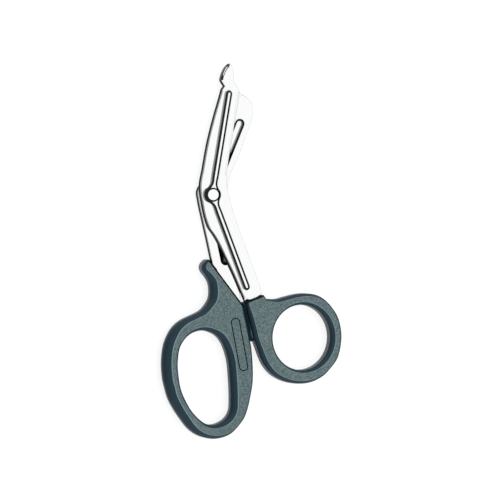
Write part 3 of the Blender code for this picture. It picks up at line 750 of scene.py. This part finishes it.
def lowerOutline(look):
    lean, shank = look["lean"], look["shankLean"]
    start = bladePoint(lean, look["edgeStart"], look["edgeOffset"])
    end = bladePoint(lean, look["edgeEnd"], look["edgeOffset"])
    left, right = look["heel"][-1], look["flank"][0]
    tangEnd = left[0] + look["tangLength"]

    def ahead(table):
        return [bladePoint(lean, look["edgeEnd"] + d, v) for d, v in table]

    sole = smoothRun(plain(ahead(look["sole"])), runSteps["sole"])
    along = np.linspace(-1.0, 1.0, len(sole))
    sole[:, 4] = np.clip(1.0 - np.abs(along) ** 3, 0.0, 1.0)
    sole[:, 5] = np.clip(2.0 - 2.0 * np.abs(along), 0.0, 1.0)
    back = [bladePoint(lean, d, v) for d, v in look["spine"]]
    back += [shankPoint(shank, d, w) for d, w in look["heel"]]
    tang = [shankPoint(shank, d, w) for d, w in
            (left, (left[0], -look["tangLeft"]), (tangEnd, -look["tangLeft"]),
             (tangEnd, look["tangRight"]), (right[0], look["tangRight"]), right)]
    flank = [shankPoint(shank, d, w) for d, w in look["flank"]]
    flank += [bladePoint(lean, *look["shoulder"]), start]
    small, long = runSteps["small"], runSteps["side"]
    runs = [cuttingEdge(start, end, True), smoothRun(plain([end] + ahead(look["nose"])), small),
            sole, smoothRun(plain(ahead(look["notch"])), small),
            smoothRun(plain(ahead(look["nick"])), small), smoothRun(plain(back), long)]
    runs += [smoothRun(plain(pair), runSteps["tang"]) for pair in zip(tang, tang[1:])]
    runs.append(smoothRun(plain(flank), long))
    return joinRuns(runs)


lowerSteel = makeSteel("polishedSteelLower", steelLook, lowerBlade["lean"])
lowerGrind = makeSteel("groundEdgeLower", grindLook, lowerBlade["lean"] + 90)
lowerShape = lowerOutline(lowerBlade)
lowerPost = shankPoint(lowerBlade["shankLean"], lowerBlade["post"],
                       (lowerBlade["tangRight"] - lowerBlade["tangLeft"]) / 2)
lower = buildBlade("lowerBladeSteel", lowerShape,
                   (lowerBlade["lean"], lowerBlade["ribTop"], lowerBlade["shankLean"],
                    lowerBlade["ribBottom"]), 1.0, lowerPost, foot)
finishPiece(lower, [lowerSteel, lowerGrind, edgeShadeSteel], "thumb_side", "lower_blade")
paintEdges(lower, lowerShape, 1.0)
print("stage 3: lower blade made")

# Upper blade: the one behind, which shows its hollow side
upperBlade = {
    "lean": 22.3,
    "shankLean": 12.4,
    "edgeOffset": -0.0058,
    "edgeStart": 0.0105,
    "edgeEnd": 0.0530,
    "ribTop": 0.0415,
    "ribBottom": 0.0364,
    "flank": ((0.0480, 0.0044), (0.0350, 0.0053), (0.0200, 0.0060), (0.0080, 0.0069)),
    "back": ((0.0045, 0.0070), (0.0114, 0.0053), (0.0231, 0.0057), (0.0322, 0.0054),
             (0.0400, 0.0052), (0.0470, 0.0044), (0.0505, 0.0024), (0.0524, -0.0007),
             (0.0530, -0.0035)),
    "bulge": ((0.0062, -0.0067), (-0.0010, -0.0080)),
    "left": ((0.0013, -0.0078), (0.0138, -0.0078), (0.0216, -0.0077)),
    "shankLeft": 0.0077,
    "shankRight": 0.0029,
    "tangLeft": 0.0062,
    "tangRight": 0.0010,
    "tangEnd": 0.0665,
    "post": 0.0620,
    "shoulderGap": 0.00012,    # between the steel's shoulders and the grip's end face
}
noFoot = {"height": sheet["thickness"], "bend": 0.0, "outerRound": (0.0006, 0.0004),
          "slideRound": (0.0018, 0.0010)}
faceTop = (-0.0020, -0.0329)   # where the finger grip's slanting end face starts
stopLine = ((0.0152, -0.0552), (0.0164, -0.0612), (0.0177, -0.0668), (0.0188, -0.0724),
            (0.0198, -0.0779))


def faceDistance(across):      # how far down the upper shank that face lies
    near, left = shankPlace(upperBlade["shankLean"], faceTop)
    far, right = shankPlace(upperBlade["shankLean"], stopLine[0])
    return near + (far - near) / (right - left) * (across - left)


def upperOutline(look):
    lean, shank = look["lean"], look["shankLean"]
    start = bladePoint(lean, look["edgeStart"], look["edgeOffset"])
    end = bladePoint(lean, look["edgeEnd"], look["edgeOffset"])

    def shoulder(across):
        return shankPoint(shank, faceDistance(across) - look["shoulderGap"], across)

    right = [shoulder(look["shankRight"])] + [shankPoint(shank, d, w) for d, w in look["flank"]]
    right += [bladePoint(lean, d, v) for d, v in look["back"]] + [end]
    left = [start] + [bladePoint(lean, d, v) for d, v in look["bulge"]]
    left += [shankPoint(shank, d, w) for d, w in look["left"]] + [shoulder(-look["shankLeft"])]
    tang = [shoulder(-look["shankLeft"]), shoulder(-look["tangLeft"]),
            shankPoint(shank, look["tangEnd"], -look["tangLeft"]),
            shankPoint(shank, look["tangEnd"], look["tangRight"]),
            shoulder(look["tangRight"]), shoulder(look["shankRight"])]
    runs = [smoothRun(plain(right), runSteps["side"]), cuttingEdge(end, start, False),
            smoothRun(plain(left), runSteps["side"])]
    runs += [smoothRun(plain(pair), runSteps["tang"]) for pair in zip(tang, tang[1:])]
    return joinRuns(runs)


upperSteel = makeSteel("polishedSteelUpper", steelLook, upperBlade["lean"])
upperGrind = makeSteel("groundEdgeUpper", grindLook, upperBlade["lean"] + 90)
upperShape = upperOutline(upperBlade)
upperPost = shankPoint(upperBlade["shankLean"], upperBlade["post"],
                       (upperBlade["tangRight"] - upperBlade["tangLeft"]) / 2)
upper = buildBlade("upperBladeSteel", upperShape,
                   (upperBlade["lean"], upperBlade["ribTop"], upperBlade["shankLean"],
                    upperBlade["ribBottom"]), -1.0, upperPost, noFoot)
finishPiece(upper, [upperSteel, upperGrind, edgeShadeSteel], "finger_side", "upper_blade")
paintEdges(upper, upperShape, -1.0)
print("stage 4: upper blade made")

# Rivet: a flat head with a rounded rim in front, a peened tail behind
rivetSize = {
    "shank": 0.0020,
    "head": 0.0036,
    "headHeight": 0.0010,
    "tail": 0.0033,
    "tailHeight": 0.0009,
    "gap": 0.00004,            # between the boss and either end
    # shares of the radius and of the height, from the middle of the tail to that of the head
    "tailCurve": ((0.30, 1.0), (0.55, 0.97), (0.74, 0.86), (0.88, 0.66), (0.97, 0.38),
                  (1.0, 0.15), (0.985, 0.0)),
    "headCurve": ((0.985, 0.0), (1.0, 0.08), (1.0, 0.40), (0.995, 0.44), (0.98, 0.485),
                  (0.94, 0.575), (0.90, 0.665), (0.86, 0.755), (0.82, 0.845), (0.785, 0.923),
                  (0.768, 0.962), (0.75, 0.99), (0.73, 1.0), (0.70, 1.0)),
}


def buildRivet(size):
    head, tail = bossTop + size["gap"], -bossTop - size["gap"]
    profile = [(size["tail"] * r, tail - size["tailHeight"] * h) for r, h in size["tailCurve"]]
    profile += [(size["shank"], tail), (size["shank"], head)]
    profile += [(size["head"] * r, head + size["headHeight"] * h) for r, h in size["headCurve"]]
    rings = [ring(circle((0.0, 0.0), radius, 72), 0.0, z) for radius, z in profile]
    rivet = drawStack("pivotRivetSteel", rings)
    closePiece(rivet, [profile[0][1], profile[-1][1]])
    return rivet


rivetSteel = makeSteel("rivetSteel", rivetLook, 0.0)
rivet = buildRivet(rivetSize)
finishPiece(rivet, [rivetSteel], "finger_side", "pivot_rivet")
print("stage 5: rivet made")


# Grips
grip = {
    "half": 0.0050,            # half of their thickness
    "swell": 1.6,              # how round the shoulder is: 1 is a chamfer
    "leastInset": 0.0009,      # of the shoulder, on sides that face right
    "leastDepth": 0.0012,
    "turning": 1.5,            # how fast the shoulder grows towards the left
    "edge": 0.00026,           # the small round between face and shoulder
    "seam": 0.00005,           # groove of the mould's parting line
    "faceRound": 0.0009,
    "jointRound": {"finger": 0.0010, "thumb": 0.00035},  # where the steel enters
    "stopGap": 0.0003,
    "depthShare": 0.8,         # how much deeper the shoulder gets as it gets wider
    "jointReach": 0.0008,      # how far from the steel the round there fades out
    "seamHalf": 0.0001,
    # the shoulder, from the face down: shares of the way out, where 1 is the shoulder's inner end
    "shoulder": (0.72, 0.64, 0.55, 0.46, 0.36, 0.26, 0.16, 0.07, 0.0),
    # the frame's groove, a V: how far in and how deep
    "groove": ((0.0, 0.0), (0.00010, 0.00017), (0.00020, 0.00032), (0.00027, 0.00036),
               (0.00034, 0.00032), (0.00044, 0.00017), (0.00054, 0.00003)),
    "grooveReach": 0.0009,
    "pocketGap": 0.00006,      # between a tang and its pocket
    "pocketReach": 0.009,      # how far a pocket's tool stands out of the grip
    "postRadius": 0.0012,
}


def mouldedGrip(name, outline, holes, low, high, joint=None, frameShape=None):
    # each side has a small round at the face, a shoulder, a straight wall and the mould's seam
    half, stacks = (high - low) / 2, []
    for loop, way in [(outline, 1.0)] + [(hole, -1.0) for hole in holes]:
        least = np.minimum(grip["leastInset"], loop[:, 2])
        if joint is not None:
            start, end, jointRound = joint
            away = awayFrom(loop[:, :2], start, end)
            near = np.clip(1.5 - away / grip["jointReach"], 0.0, 1.0)
            least = least + (jointRound - least) * near
        grown = np.maximum(loop[:, 2] - least, 0.0) * facing(loop, way) ** grip["turning"]
        inset = easeCorners(loop, least + grown, way)
        depth = grip["leastDepth"] + grip["depthShare"] * (inset - grip["leastInset"])
        drop = np.minimum(grip["edge"], 0.19 * depth)
        under = inset * (1 - drop / depth) ** grip["swell"]
        side = [(1.16 * inset, 0 * drop), (1.06 * inset, 0 * drop),
                (0.765 * inset + 0.25 * under, 0.25 * drop), (under, drop)]
        side += [(inset * t ** grip["swell"], depth * (1 - t))
                 for t in grip["shoulder"]]
        side += [(0 * inset, half - grip["seamHalf"] + 0 * drop),
                 (grip["seam"] + 0 * inset, half + 0 * drop)]
        rings = [ring(loop, way * amount, low + down) for amount, down in side]
        rings += [ring(loop, way * amount, high - down) for amount, down in side[-2::-1]]
        stacks.append(drawStack(name, rings))
    flats = [low, high]
    if frameShape is not None:
        rings = [ring(frameShape, inward, high - down) for inward, down in grip["groove"]]
        stacks.append(drawStack("frame", rings))
        flats.append(high - grip["groove"][-1][1])
    piece = joinPieces(stacks)
    closePiece(piece, flats)
    return piece


def paintShade(piece, start, end, nearest, furthest, outwards=None):
    # slanting faces at that distance from a stretch take the dark plastic: painted shade
    faces = piece.data.polygons
    centres = np.array([(f.center.x - pivot.x, f.center.y - pivot.y) for f in faces])
    for face, away in zip(faces, awayFrom(centres, start, end)):
        if nearest < away < furthest and abs(face.normal.z) < 0.97:
            if outwards is None or face.normal.xy.dot(outwards) > 0.3 * face.normal.xy.length:
                face.material_index = 1


def paintJointShade(piece, start, end, jointRound):
    across = Vector((end[0] - start[0], end[1] - start[1]))
    outwards = Vector((-across.y, across.x)).normalized()
    # faces beside the steel's entry take painted shade
    paintShade(piece, start, end, -1.0, jointRound + 0.0002, outwards)


def pocketTool(box, post, low, high):          # the tang's room inside a grip, round its post
    loop = joinRuns([smoothRun(pair, runSteps["pocket"]) for pair in zip(box, box[1:] + box[:1])])
    tool = joinPieces([drawStack("pocket", [ring(loop, 0.0, z) for z in (low, high)]),
                       drawStack("post", [ring(circle(post, grip["postRadius"], 24), 0.0, z)
                                          for z in (low, high)])])
    closePiece(tool, [low, high])
    return tool


fingerGrip = {
    "round": 0.0034,           # of the shoulder, where a side faces left
    "leftRound": 0.0045,
    "wallRound": 0.0015,
    "holeWidth": 0.0277,
    "holeLength": 0.0476,
    "holeTop": 0.0683,
    "armOuter": 0.0077,
    "armInner": 0.0113,
    "armEnd": 0.0070,
    "armTop": 0.0090,
    "toWidest": 0.0008,
    # down the hook: x, y and the shoulder's round
    "hook": ((-0.0029, -0.0325, 0.0009), (-0.0043, -0.0334, 0.0018), (-0.0057, -0.0352, 0.0020),
             (-0.0060, -0.0370, 0.0022), (-0.0053, -0.0389, 0.0025), (-0.0037, -0.0410, 0.0031),
             (-0.0021, -0.0440, 0.0038), (-0.0014, -0.0480, 0.0038), (-0.0018, -0.0521, 0.0038),
             (-0.0034, -0.0552, 0.0034)),
    # round the loop and its hole: shares of their half widths and half lengths
    "upperLeft": ((0.08, 1.03), (0.30, 0.957), (0.49, 0.902), (0.652, 0.832), (0.777, 0.747),
                  (0.865, 0.649), (0.935, 0.54), (0.977, 0.418), (1.0, 0.216)),
    "lowerLeft": ((0.972, 0.016), (0.921, 0.166), (0.851, 0.328), (0.735, 0.484), (0.568, 0.656),
                  (0.378, 0.821), (0.197, 0.919), (0.0, 0.977)),
    "lowerRight": ((0.181, 1.0), (0.38, 0.977), (0.555, 0.912), (0.718, 0.779), (0.825, 0.656),
                   (0.897, 0.494), (0.948, 0.312), (0.988, 0.13), (1.0, -0.049)),
    "hole": ((1.0, -0.49), (0.965, 0.02), (0.88, 0.42), (0.65, 0.765), (0.40, 0.915),
             (-0.09, 1.0), (-0.56, 0.915), (-0.90, 0.67), (-1.0, 0.33), (-0.975, 0.06),
             (-0.885, -0.235), (-0.70, -0.49), (-0.42, -0.745), (-0.01, -0.955),
             (0.285, -1.0), (0.59, -0.955), (0.835, -0.85), (0.972, -0.70)),
    "leftShare": 0.7,          # how far out on the left the wider round is full
    "frameWidth": 0.0048,
    "frameTop": (-0.0094, 0.0040),       # from the loop's right side and its hole's top
    "frameEnd": (-0.0052, -0.0182),
}


def fingerOutline(look):
    half, long = look["holeWidth"] / 2, look["holeLength"] / 2
    cx = stopLine[-1][0] + look["toWidest"] - look["armInner"] - half
    cy = -look["holeTop"] - long
    left, right = half + look["armOuter"], half + look["armInner"]
    bottom, top = long + look["armEnd"], long + look["armTop"]
    full, wall, outer = look["round"], look["wallRound"], look["leftRound"]

    def leftRound(share):
        return full + (outer - full) * min(share / look["leftShare"], 1.0)

    body = [(*faceTop, grip["faceRound"])] + list(look["hook"])
    body += [(cx - left * fx, cy + top * fy, leftRound(fx)) for fx, fy in look["upperLeft"]]
    body += [(cx - left * fx, cy - bottom * fy, leftRound(fx)) for fx, fy in look["lowerLeft"]]
    rounds = np.linspace(full, wall, len(look["lowerRight"]))
    body += [(cx + right * fx, cy - bottom * fy, r)
             for (fx, fy), r in zip(look["lowerRight"], rounds)]
    body += [(x, y, wall) for x, y in stopLine[::-1]]
    inside = [(cx + half * fx, cy + long * fy, full) for fx, fy in look["hole"]]
    outline = joinRuns([smoothRun(body, runSteps["grip"]),
                        smoothRun([body[-1], body[0]], runSteps["collar"])])
    return outline, smoothRun(inside, runSteps["grip"], closed=True), cx + right


fingerShape, fingerHole, fingerRight = fingerOutline(fingerGrip)
frameTop, frameEnd = ((fingerRight + x, y - fingerGrip["holeTop"])
                      for x, y in (fingerGrip["frameTop"], fingerGrip["frameEnd"]))
frameShape = slotShape(frameTop, frameEnd, fingerGrip["frameWidth"] / 2)
fingerJoint = (faceTop, stopLine[0], grip["jointRound"]["finger"])
finger = mouldedGrip("fingerGripPlastic", fingerShape, [fingerHole], -grip["half"], grip["half"],
                     fingerJoint, frameShape)
gap, reach = grip["pocketGap"], grip["pocketReach"]
leftSide, rightSide = -upperBlade["tangLeft"] - gap, upperBlade["tangRight"] + gap
tangEnd = upperBlade["tangEnd"] + gap
tangBox = [shankPoint(upperBlade["shankLean"], d, w) for d, w in
           ((faceDistance(leftSide) - reach, leftSide), (tangEnd, leftSide),
            (tangEnd, rightSide), (faceDistance(rightSide) - reach, rightSide))]
booleanWith(finger, pocketTool(tangBox, upperPost, -outerFace - gap, -slide + gap), "DIFFERENCE")
finishPiece(finger, [plastic, jointShadePlastic], "finger_side", "finger_handle")
paintJointShade(finger, *fingerJoint)
# the frame's groove takes painted shade
paintShade(finger, frameTop, frameEnd, fingerGrip["frameWidth"] / 2 - grip["grooveReach"],
          fingerGrip["frameWidth"] / 2)
print("stage 6: finger grip made")

thumbGrip = {
    "round": 0.0026,
    "holeRound": 0.0025,
    "holeWidth": 0.0305,
    "holeLength": 0.0331,
    "holeTop": 0.0556,
    "armOuter": 0.0058,
    "armInner": 0.0118,
    "armTop": 0.0058,
    "armEnd": 0.0069,
    "collar": 0.0566,
    "collarAcross": (-0.0032, 0.0063),
    "step": (0.0591, 0.0070),            # the corner right of the collar, down and across
    # down the side that faces the finger grip: how far back, and the shoulder's round
    "setback": (0.0021, 0.0022, 0.0023, 0.0025, 0.0034),
    "wallRounds": (0.0010, 0.0019, 0.0022, 0.0023, 0.0024),
    # round the ring: shares of its half width and half length
    "lowerLeft": ((1.008, 0.441), (0.910, 0.612), (0.702, 0.815), (0.354, 0.965), (0.0, 1.0)),
    "lowerRight": ((0.28, 0.957), (0.553, 0.83), (0.71, 0.69), (0.90, 0.46), (1.0, 0.055)),
    "upper": ((0.975, 0.26), (0.89, 0.50), (0.70, 0.75), (0.53, 0.89), (0.344, 0.97),
              (0.07, 1.0), (-0.18, 0.97), (-0.40, 0.92), (-0.62, 0.87)),
    "besideStep": (0.0012, 0.0001, 0.0016),
    "stepRound": 0.0009,
    # the low ledge: top and foot, then its corners from the ends of the stop line
    "ledgeTop": 0.0012,
    "ledgeFoot": -0.0048,
    "ledgeRound": 0.0020,
    "ledgeStart": (0.0002, 0.0008),
    "ledgeEnd": (0.0021, -0.0018),
    "ledgeFar": (0.0066, 0.0022),
    "ledgeInner": (0.0052, -0.0002),
    "pocketReach": 0.0055,
}


def thumbOutline(look):
    half, long = look["holeWidth"] / 2, look["holeLength"] / 2
    cx = stopLine[3][0] + grip["stopGap"] + look["armInner"] + half
    cy = -look["holeTop"] - long
    right, top, bottom = half + look["armOuter"], long + look["armTop"], long + look["armEnd"]
    full, shank = look["round"], lowerBlade["shankLean"]
    wall = [(x + back, y, r)
            for (x, y), back, r in zip(stopLine, look["setback"], look["wallRounds"])]
    collarLeft, collarRight = [(*shankPoint(shank, look["collar"], across), grip["faceRound"])
                               for across in look["collarAcross"]]
    step = (*shankPoint(shank, *look["step"]), look["stepRound"])
    beside = look["besideStep"]
    body = [collarLeft] + wall
    body += [(cx - right * fx, cy - bottom * fy, full) for fx, fy in look["lowerLeft"]]
    body += [(cx + right * fx, cy - bottom * fy, full) for fx, fy in look["lowerRight"]]
    body += [(cx + right * fx, cy + top * fy, full) for fx, fy in look["upper"]]
    body += [(step[0] + beside[0], step[1] + beside[1], beside[2]), step]
    outline = joinRuns([smoothRun(body, runSteps["grip"]),
                        smoothRun([step, collarRight], runSteps["side"]),
                        smoothRun([collarRight, collarLeft], runSteps["collar"])])
    turn = np.linspace(0.0, 2 * math.pi, 128, endpoint=False)
    inside = np.column_stack([cx + half * np.cos(turn), cy + long * np.sin(turn),
                              np.full(128, look["holeRound"])])
    return outline, inside


def stopLedge(look):           # the low ledge that rests on the finger grip when closed
    left = [(x + grip["stopGap"], y) for x, y in stopLine[:4]]
    (startX, startY), (endX, endY) = left[0], left[-1]
    places = [(startX + look["ledgeStart"][0], startY + look["ledgeStart"][1])] + left[1:]
    places += [(endX + x, endY + y) for x, y in (look["ledgeEnd"], look["ledgeFar"])]
    places.append((startX + look["ledgeInner"][0], startY + look["ledgeInner"][1]))
    loop = smoothRun([(x, y, look["ledgeRound"]) for x, y in places], runSteps["grip"],
                     closed=True)
    return mouldedGrip("ledge", loop, [], look["ledgeFoot"], look["ledgeTop"])


thumbShape, thumbHole = thumbOutline(thumbGrip)
thumbJoint = [shankPoint(lowerBlade["shankLean"], thumbGrip["collar"], w)
              for w in thumbGrip["collarAcross"]] + [grip["jointRound"]["thumb"]]
thumb = mouldedGrip("thumbGripPlastic", thumbShape, [thumbHole], -grip["half"], grip["half"],
                    thumbJoint)
booleanWith(thumb, stopLedge(thumbGrip), "UNION")
shoulder = lowerBlade["heel"][-1][0]
tangTop, tangEnd = shoulder - thumbGrip["pocketReach"], shoulder + lowerBlade["tangLength"] + gap
leftSide, rightSide = -lowerBlade["tangLeft"] - gap, lowerBlade["tangRight"] + gap
tangBox = [shankPoint(lowerBlade["shankLean"], d, w) for d, w in
           ((tangTop, leftSide), (tangEnd, leftSide), (tangEnd, rightSide), (tangTop, rightSide))]
booleanWith(thumb, pocketTool(tangBox, lowerPost, slide - gap, outerFace + gap), "DIFFERENCE")
finishPiece(thumb, [plastic, jointShadePlastic], "thumb_side", "thumb_handle")
paintJointShade(thumb, *thumbJoint)
print("stage 7: thumb grip made")


# Table, light and camera
studio = {
    "floorColour": (0.38, 0.38, 0.385),
    "floorGlow": 0.79,         # what a camera or a reflection sees on top of the light there
    "floorSize": 6.0,
    "paintRoughness": 0.9,
    "cardColour": (0.030, 0.045, 0.048),
    "housingColour": (0.012, 0.012, 0.012),
    "greyColour": (0.2, 0.19, 0.18),
    "greyGlow": (0.46, 0.445, 0.42),
    # each card's lower and upper edge as x and z, and half its length along y
    "lowCards": {"leftCard": ((-0.80, 0.0), (-0.80, 0.40), 0.50),
                 "rightCard": ((0.95, 0.0), (0.95, 0.40), 0.50)},
    "upperLeftCard": ((-0.62, 1.05), (-0.27, 1.16), 0.95),
    "fill": 0.30,              # what the room adds to rough surfaces
    "fillColour": (0.72, 0.90, 1.0),
    "backdrop": (0.96, 0.965, 0.97),
    "keyEnergy": 17.6,
    "keyColour": (1.0, 0.998, 0.992),
    "keySize": 1.8,
    "keyDistance": 1.15,
    "housingGap": 0.02,        # from the lamp to the box behind it
    "keyLean": 17.0,           # degrees right of straight up
    "cameraLean": 15.0,        # degrees left of straight up
    "cameraDistance": 1.6,
    "pixel": 0.000506,         # metres that one pixel of the picture covers
    "pictureWidth": 500,
    "sensorWidth": 36.0,
    "aim": (-0.0005, 0.0005, 0.0050),
}


def plainMaterial(name, colour, glow=(0.0, 0.0, 0.0), strength=0.0):
    material, shader, _ = newMaterial(name)
    shader.inputs["Base Color"].default_value = (*colour, 1.0)
    shader.inputs["Roughness"].default_value = studio["paintRoughness"]
    if strength:
        shader.inputs["Emission Color"].default_value = (*glow, 1.0)
        setInput(material.node_tree, shader.inputs["Emission Strength"], strength)
    return material


def addPanel(name, corners, material):
    bpy.ops.object.select_all(action="DESELECT")
    bpy.ops.mesh.primitive_plane_add(size=1.0)
    panel = bpy.context.object
    panel.name = name
    for vert, place in zip(panel.data.vertices, corners):
        vert.co = place
    panel.data.materials.append(material)
    return panel


def raysThatSee(tree):                        # 1 for what the camera, metal or glass shows
    rays = tree.nodes.new("ShaderNodeLightPath").outputs
    seen = rays["Is Camera Ray"]
    for label in ("Is Glossy Ray", "Is Transmission Ray"):
        seen = addNode(tree, "Math", {0: seen, 1: rays[label]}, "MAXIMUM").outputs[0]
    return seen


def paleTable():
    material = plainMaterial("paleTable", studio["floorColour"], (1.0, 1.0, 1.0), 1.0)
    tree = material.node_tree
    glow = addNode(tree, "Math", {0: raysThatSee(tree), 1: studio["floorGlow"]}, "MULTIPLY")
    tree.links.new(glow.outputs[0], tree.nodes["Principled BSDF"].inputs["Emission Strength"])
    return material


def addCard(name, place, material):
    low, high, half = place
    card = addPanel(name, [(x, y, z) for x, z in (low, high) for y in (-half, half)], material)
    card.visible_camera = False
    return card


reach = studio["floorSize"] / 2
addPanel("tableTop", [(x, y, 0.0) for y in (-reach, reach) for x in (-reach, reach)], paleTable())
darkCard = plainMaterial("darkCard", studio["cardColour"])
for name, place in studio["lowCards"].items():
    addCard(name, place, darkCard)
greyCard = plainMaterial("greyCard", studio["greyColour"], studio["greyGlow"], 1.0)
upperLeftCard = addCard("upperLeftCard", studio["upperLeftCard"], greyCard)
upperLeftCard.visible_diffuse = upperLeftCard.visible_shadow = False   # only metal shows it

lean = math.radians(studio["keyLean"])
edge, behind = studio["keySize"] / 2, studio["keyDistance"] + studio["housingGap"]
softboxBack = addPanel("softboxBack", [(behind * math.sin(lean) + x * math.cos(lean), y,
                                        behind * math.cos(lean) - x * math.sin(lean))
                                       for y in (-edge, edge) for x in (-edge, edge)],
                       plainMaterial("lampHousing", studio["housingColour"]))
softboxBack.visible_camera = False

lamp = bpy.data.lights.new("overheadSoftbox", "AREA")
lamp.shape = "SQUARE"
lamp.size = studio["keySize"]
lamp.energy = studio["keyEnergy"]
lamp.color = studio["keyColour"]
lampObject = bpy.data.objects.new("overheadSoftbox", lamp)
bpy.context.scene.collection.objects.link(lampObject)
lampObject.location = (studio["keyDistance"] * math.sin(lean), 0.0,
                       studio["keyDistance"] * math.cos(lean))
lampObject.rotation_euler = (0.0, lean, 0.0)
lampObject.visible_camera = False

world = bpy.data.worlds.new("paleRoom")
bpy.context.scene.world = world
world.use_nodes = True
tree = world.node_tree
tree.nodes.clear()
fill = addNode(tree, "Background", {"Color": (*studio["fillColour"], 1.0),
                                    "Strength": studio["fill"]})
white = addNode(tree, "Background", {"Color": (*studio["backdrop"], 1.0), "Strength": 1.0})
mix = addNode(tree, "MixShader", {0: raysThatSee(tree), 1: fill.outputs[0], 2: white.outputs[0]})
addNode(tree, "OutputWorld", {"Surface": mix.outputs[0]})

cameraData = bpy.data.cameras.new("photoCamera")
camera = bpy.data.objects.new("photoCamera", cameraData)
bpy.context.scene.collection.objects.link(camera)
tilt = math.radians(studio["cameraLean"])
aim = Vector(studio["aim"])
away = Vector((-math.sin(tilt), 0.0, math.cos(tilt)))
camera.location = aim + away * studio["cameraDistance"]
camera.rotation_euler = (0.0, -tilt, 0.0)
cameraData.sensor_width = studio["sensorWidth"]
viewWidth = studio["pictureWidth"] * studio["pixel"]
cameraData.lens = studio["sensorWidth"] * studio["cameraDistance"] / viewWidth
cameraData.clip_start = 0.05
cameraData.clip_end = 50.0
bpy.context.scene.camera = camera
bpy.context.scene.view_settings.view_transform = "Standard"
print("stage 8: table, light and camera set")

bpy.context.view_layer.update()
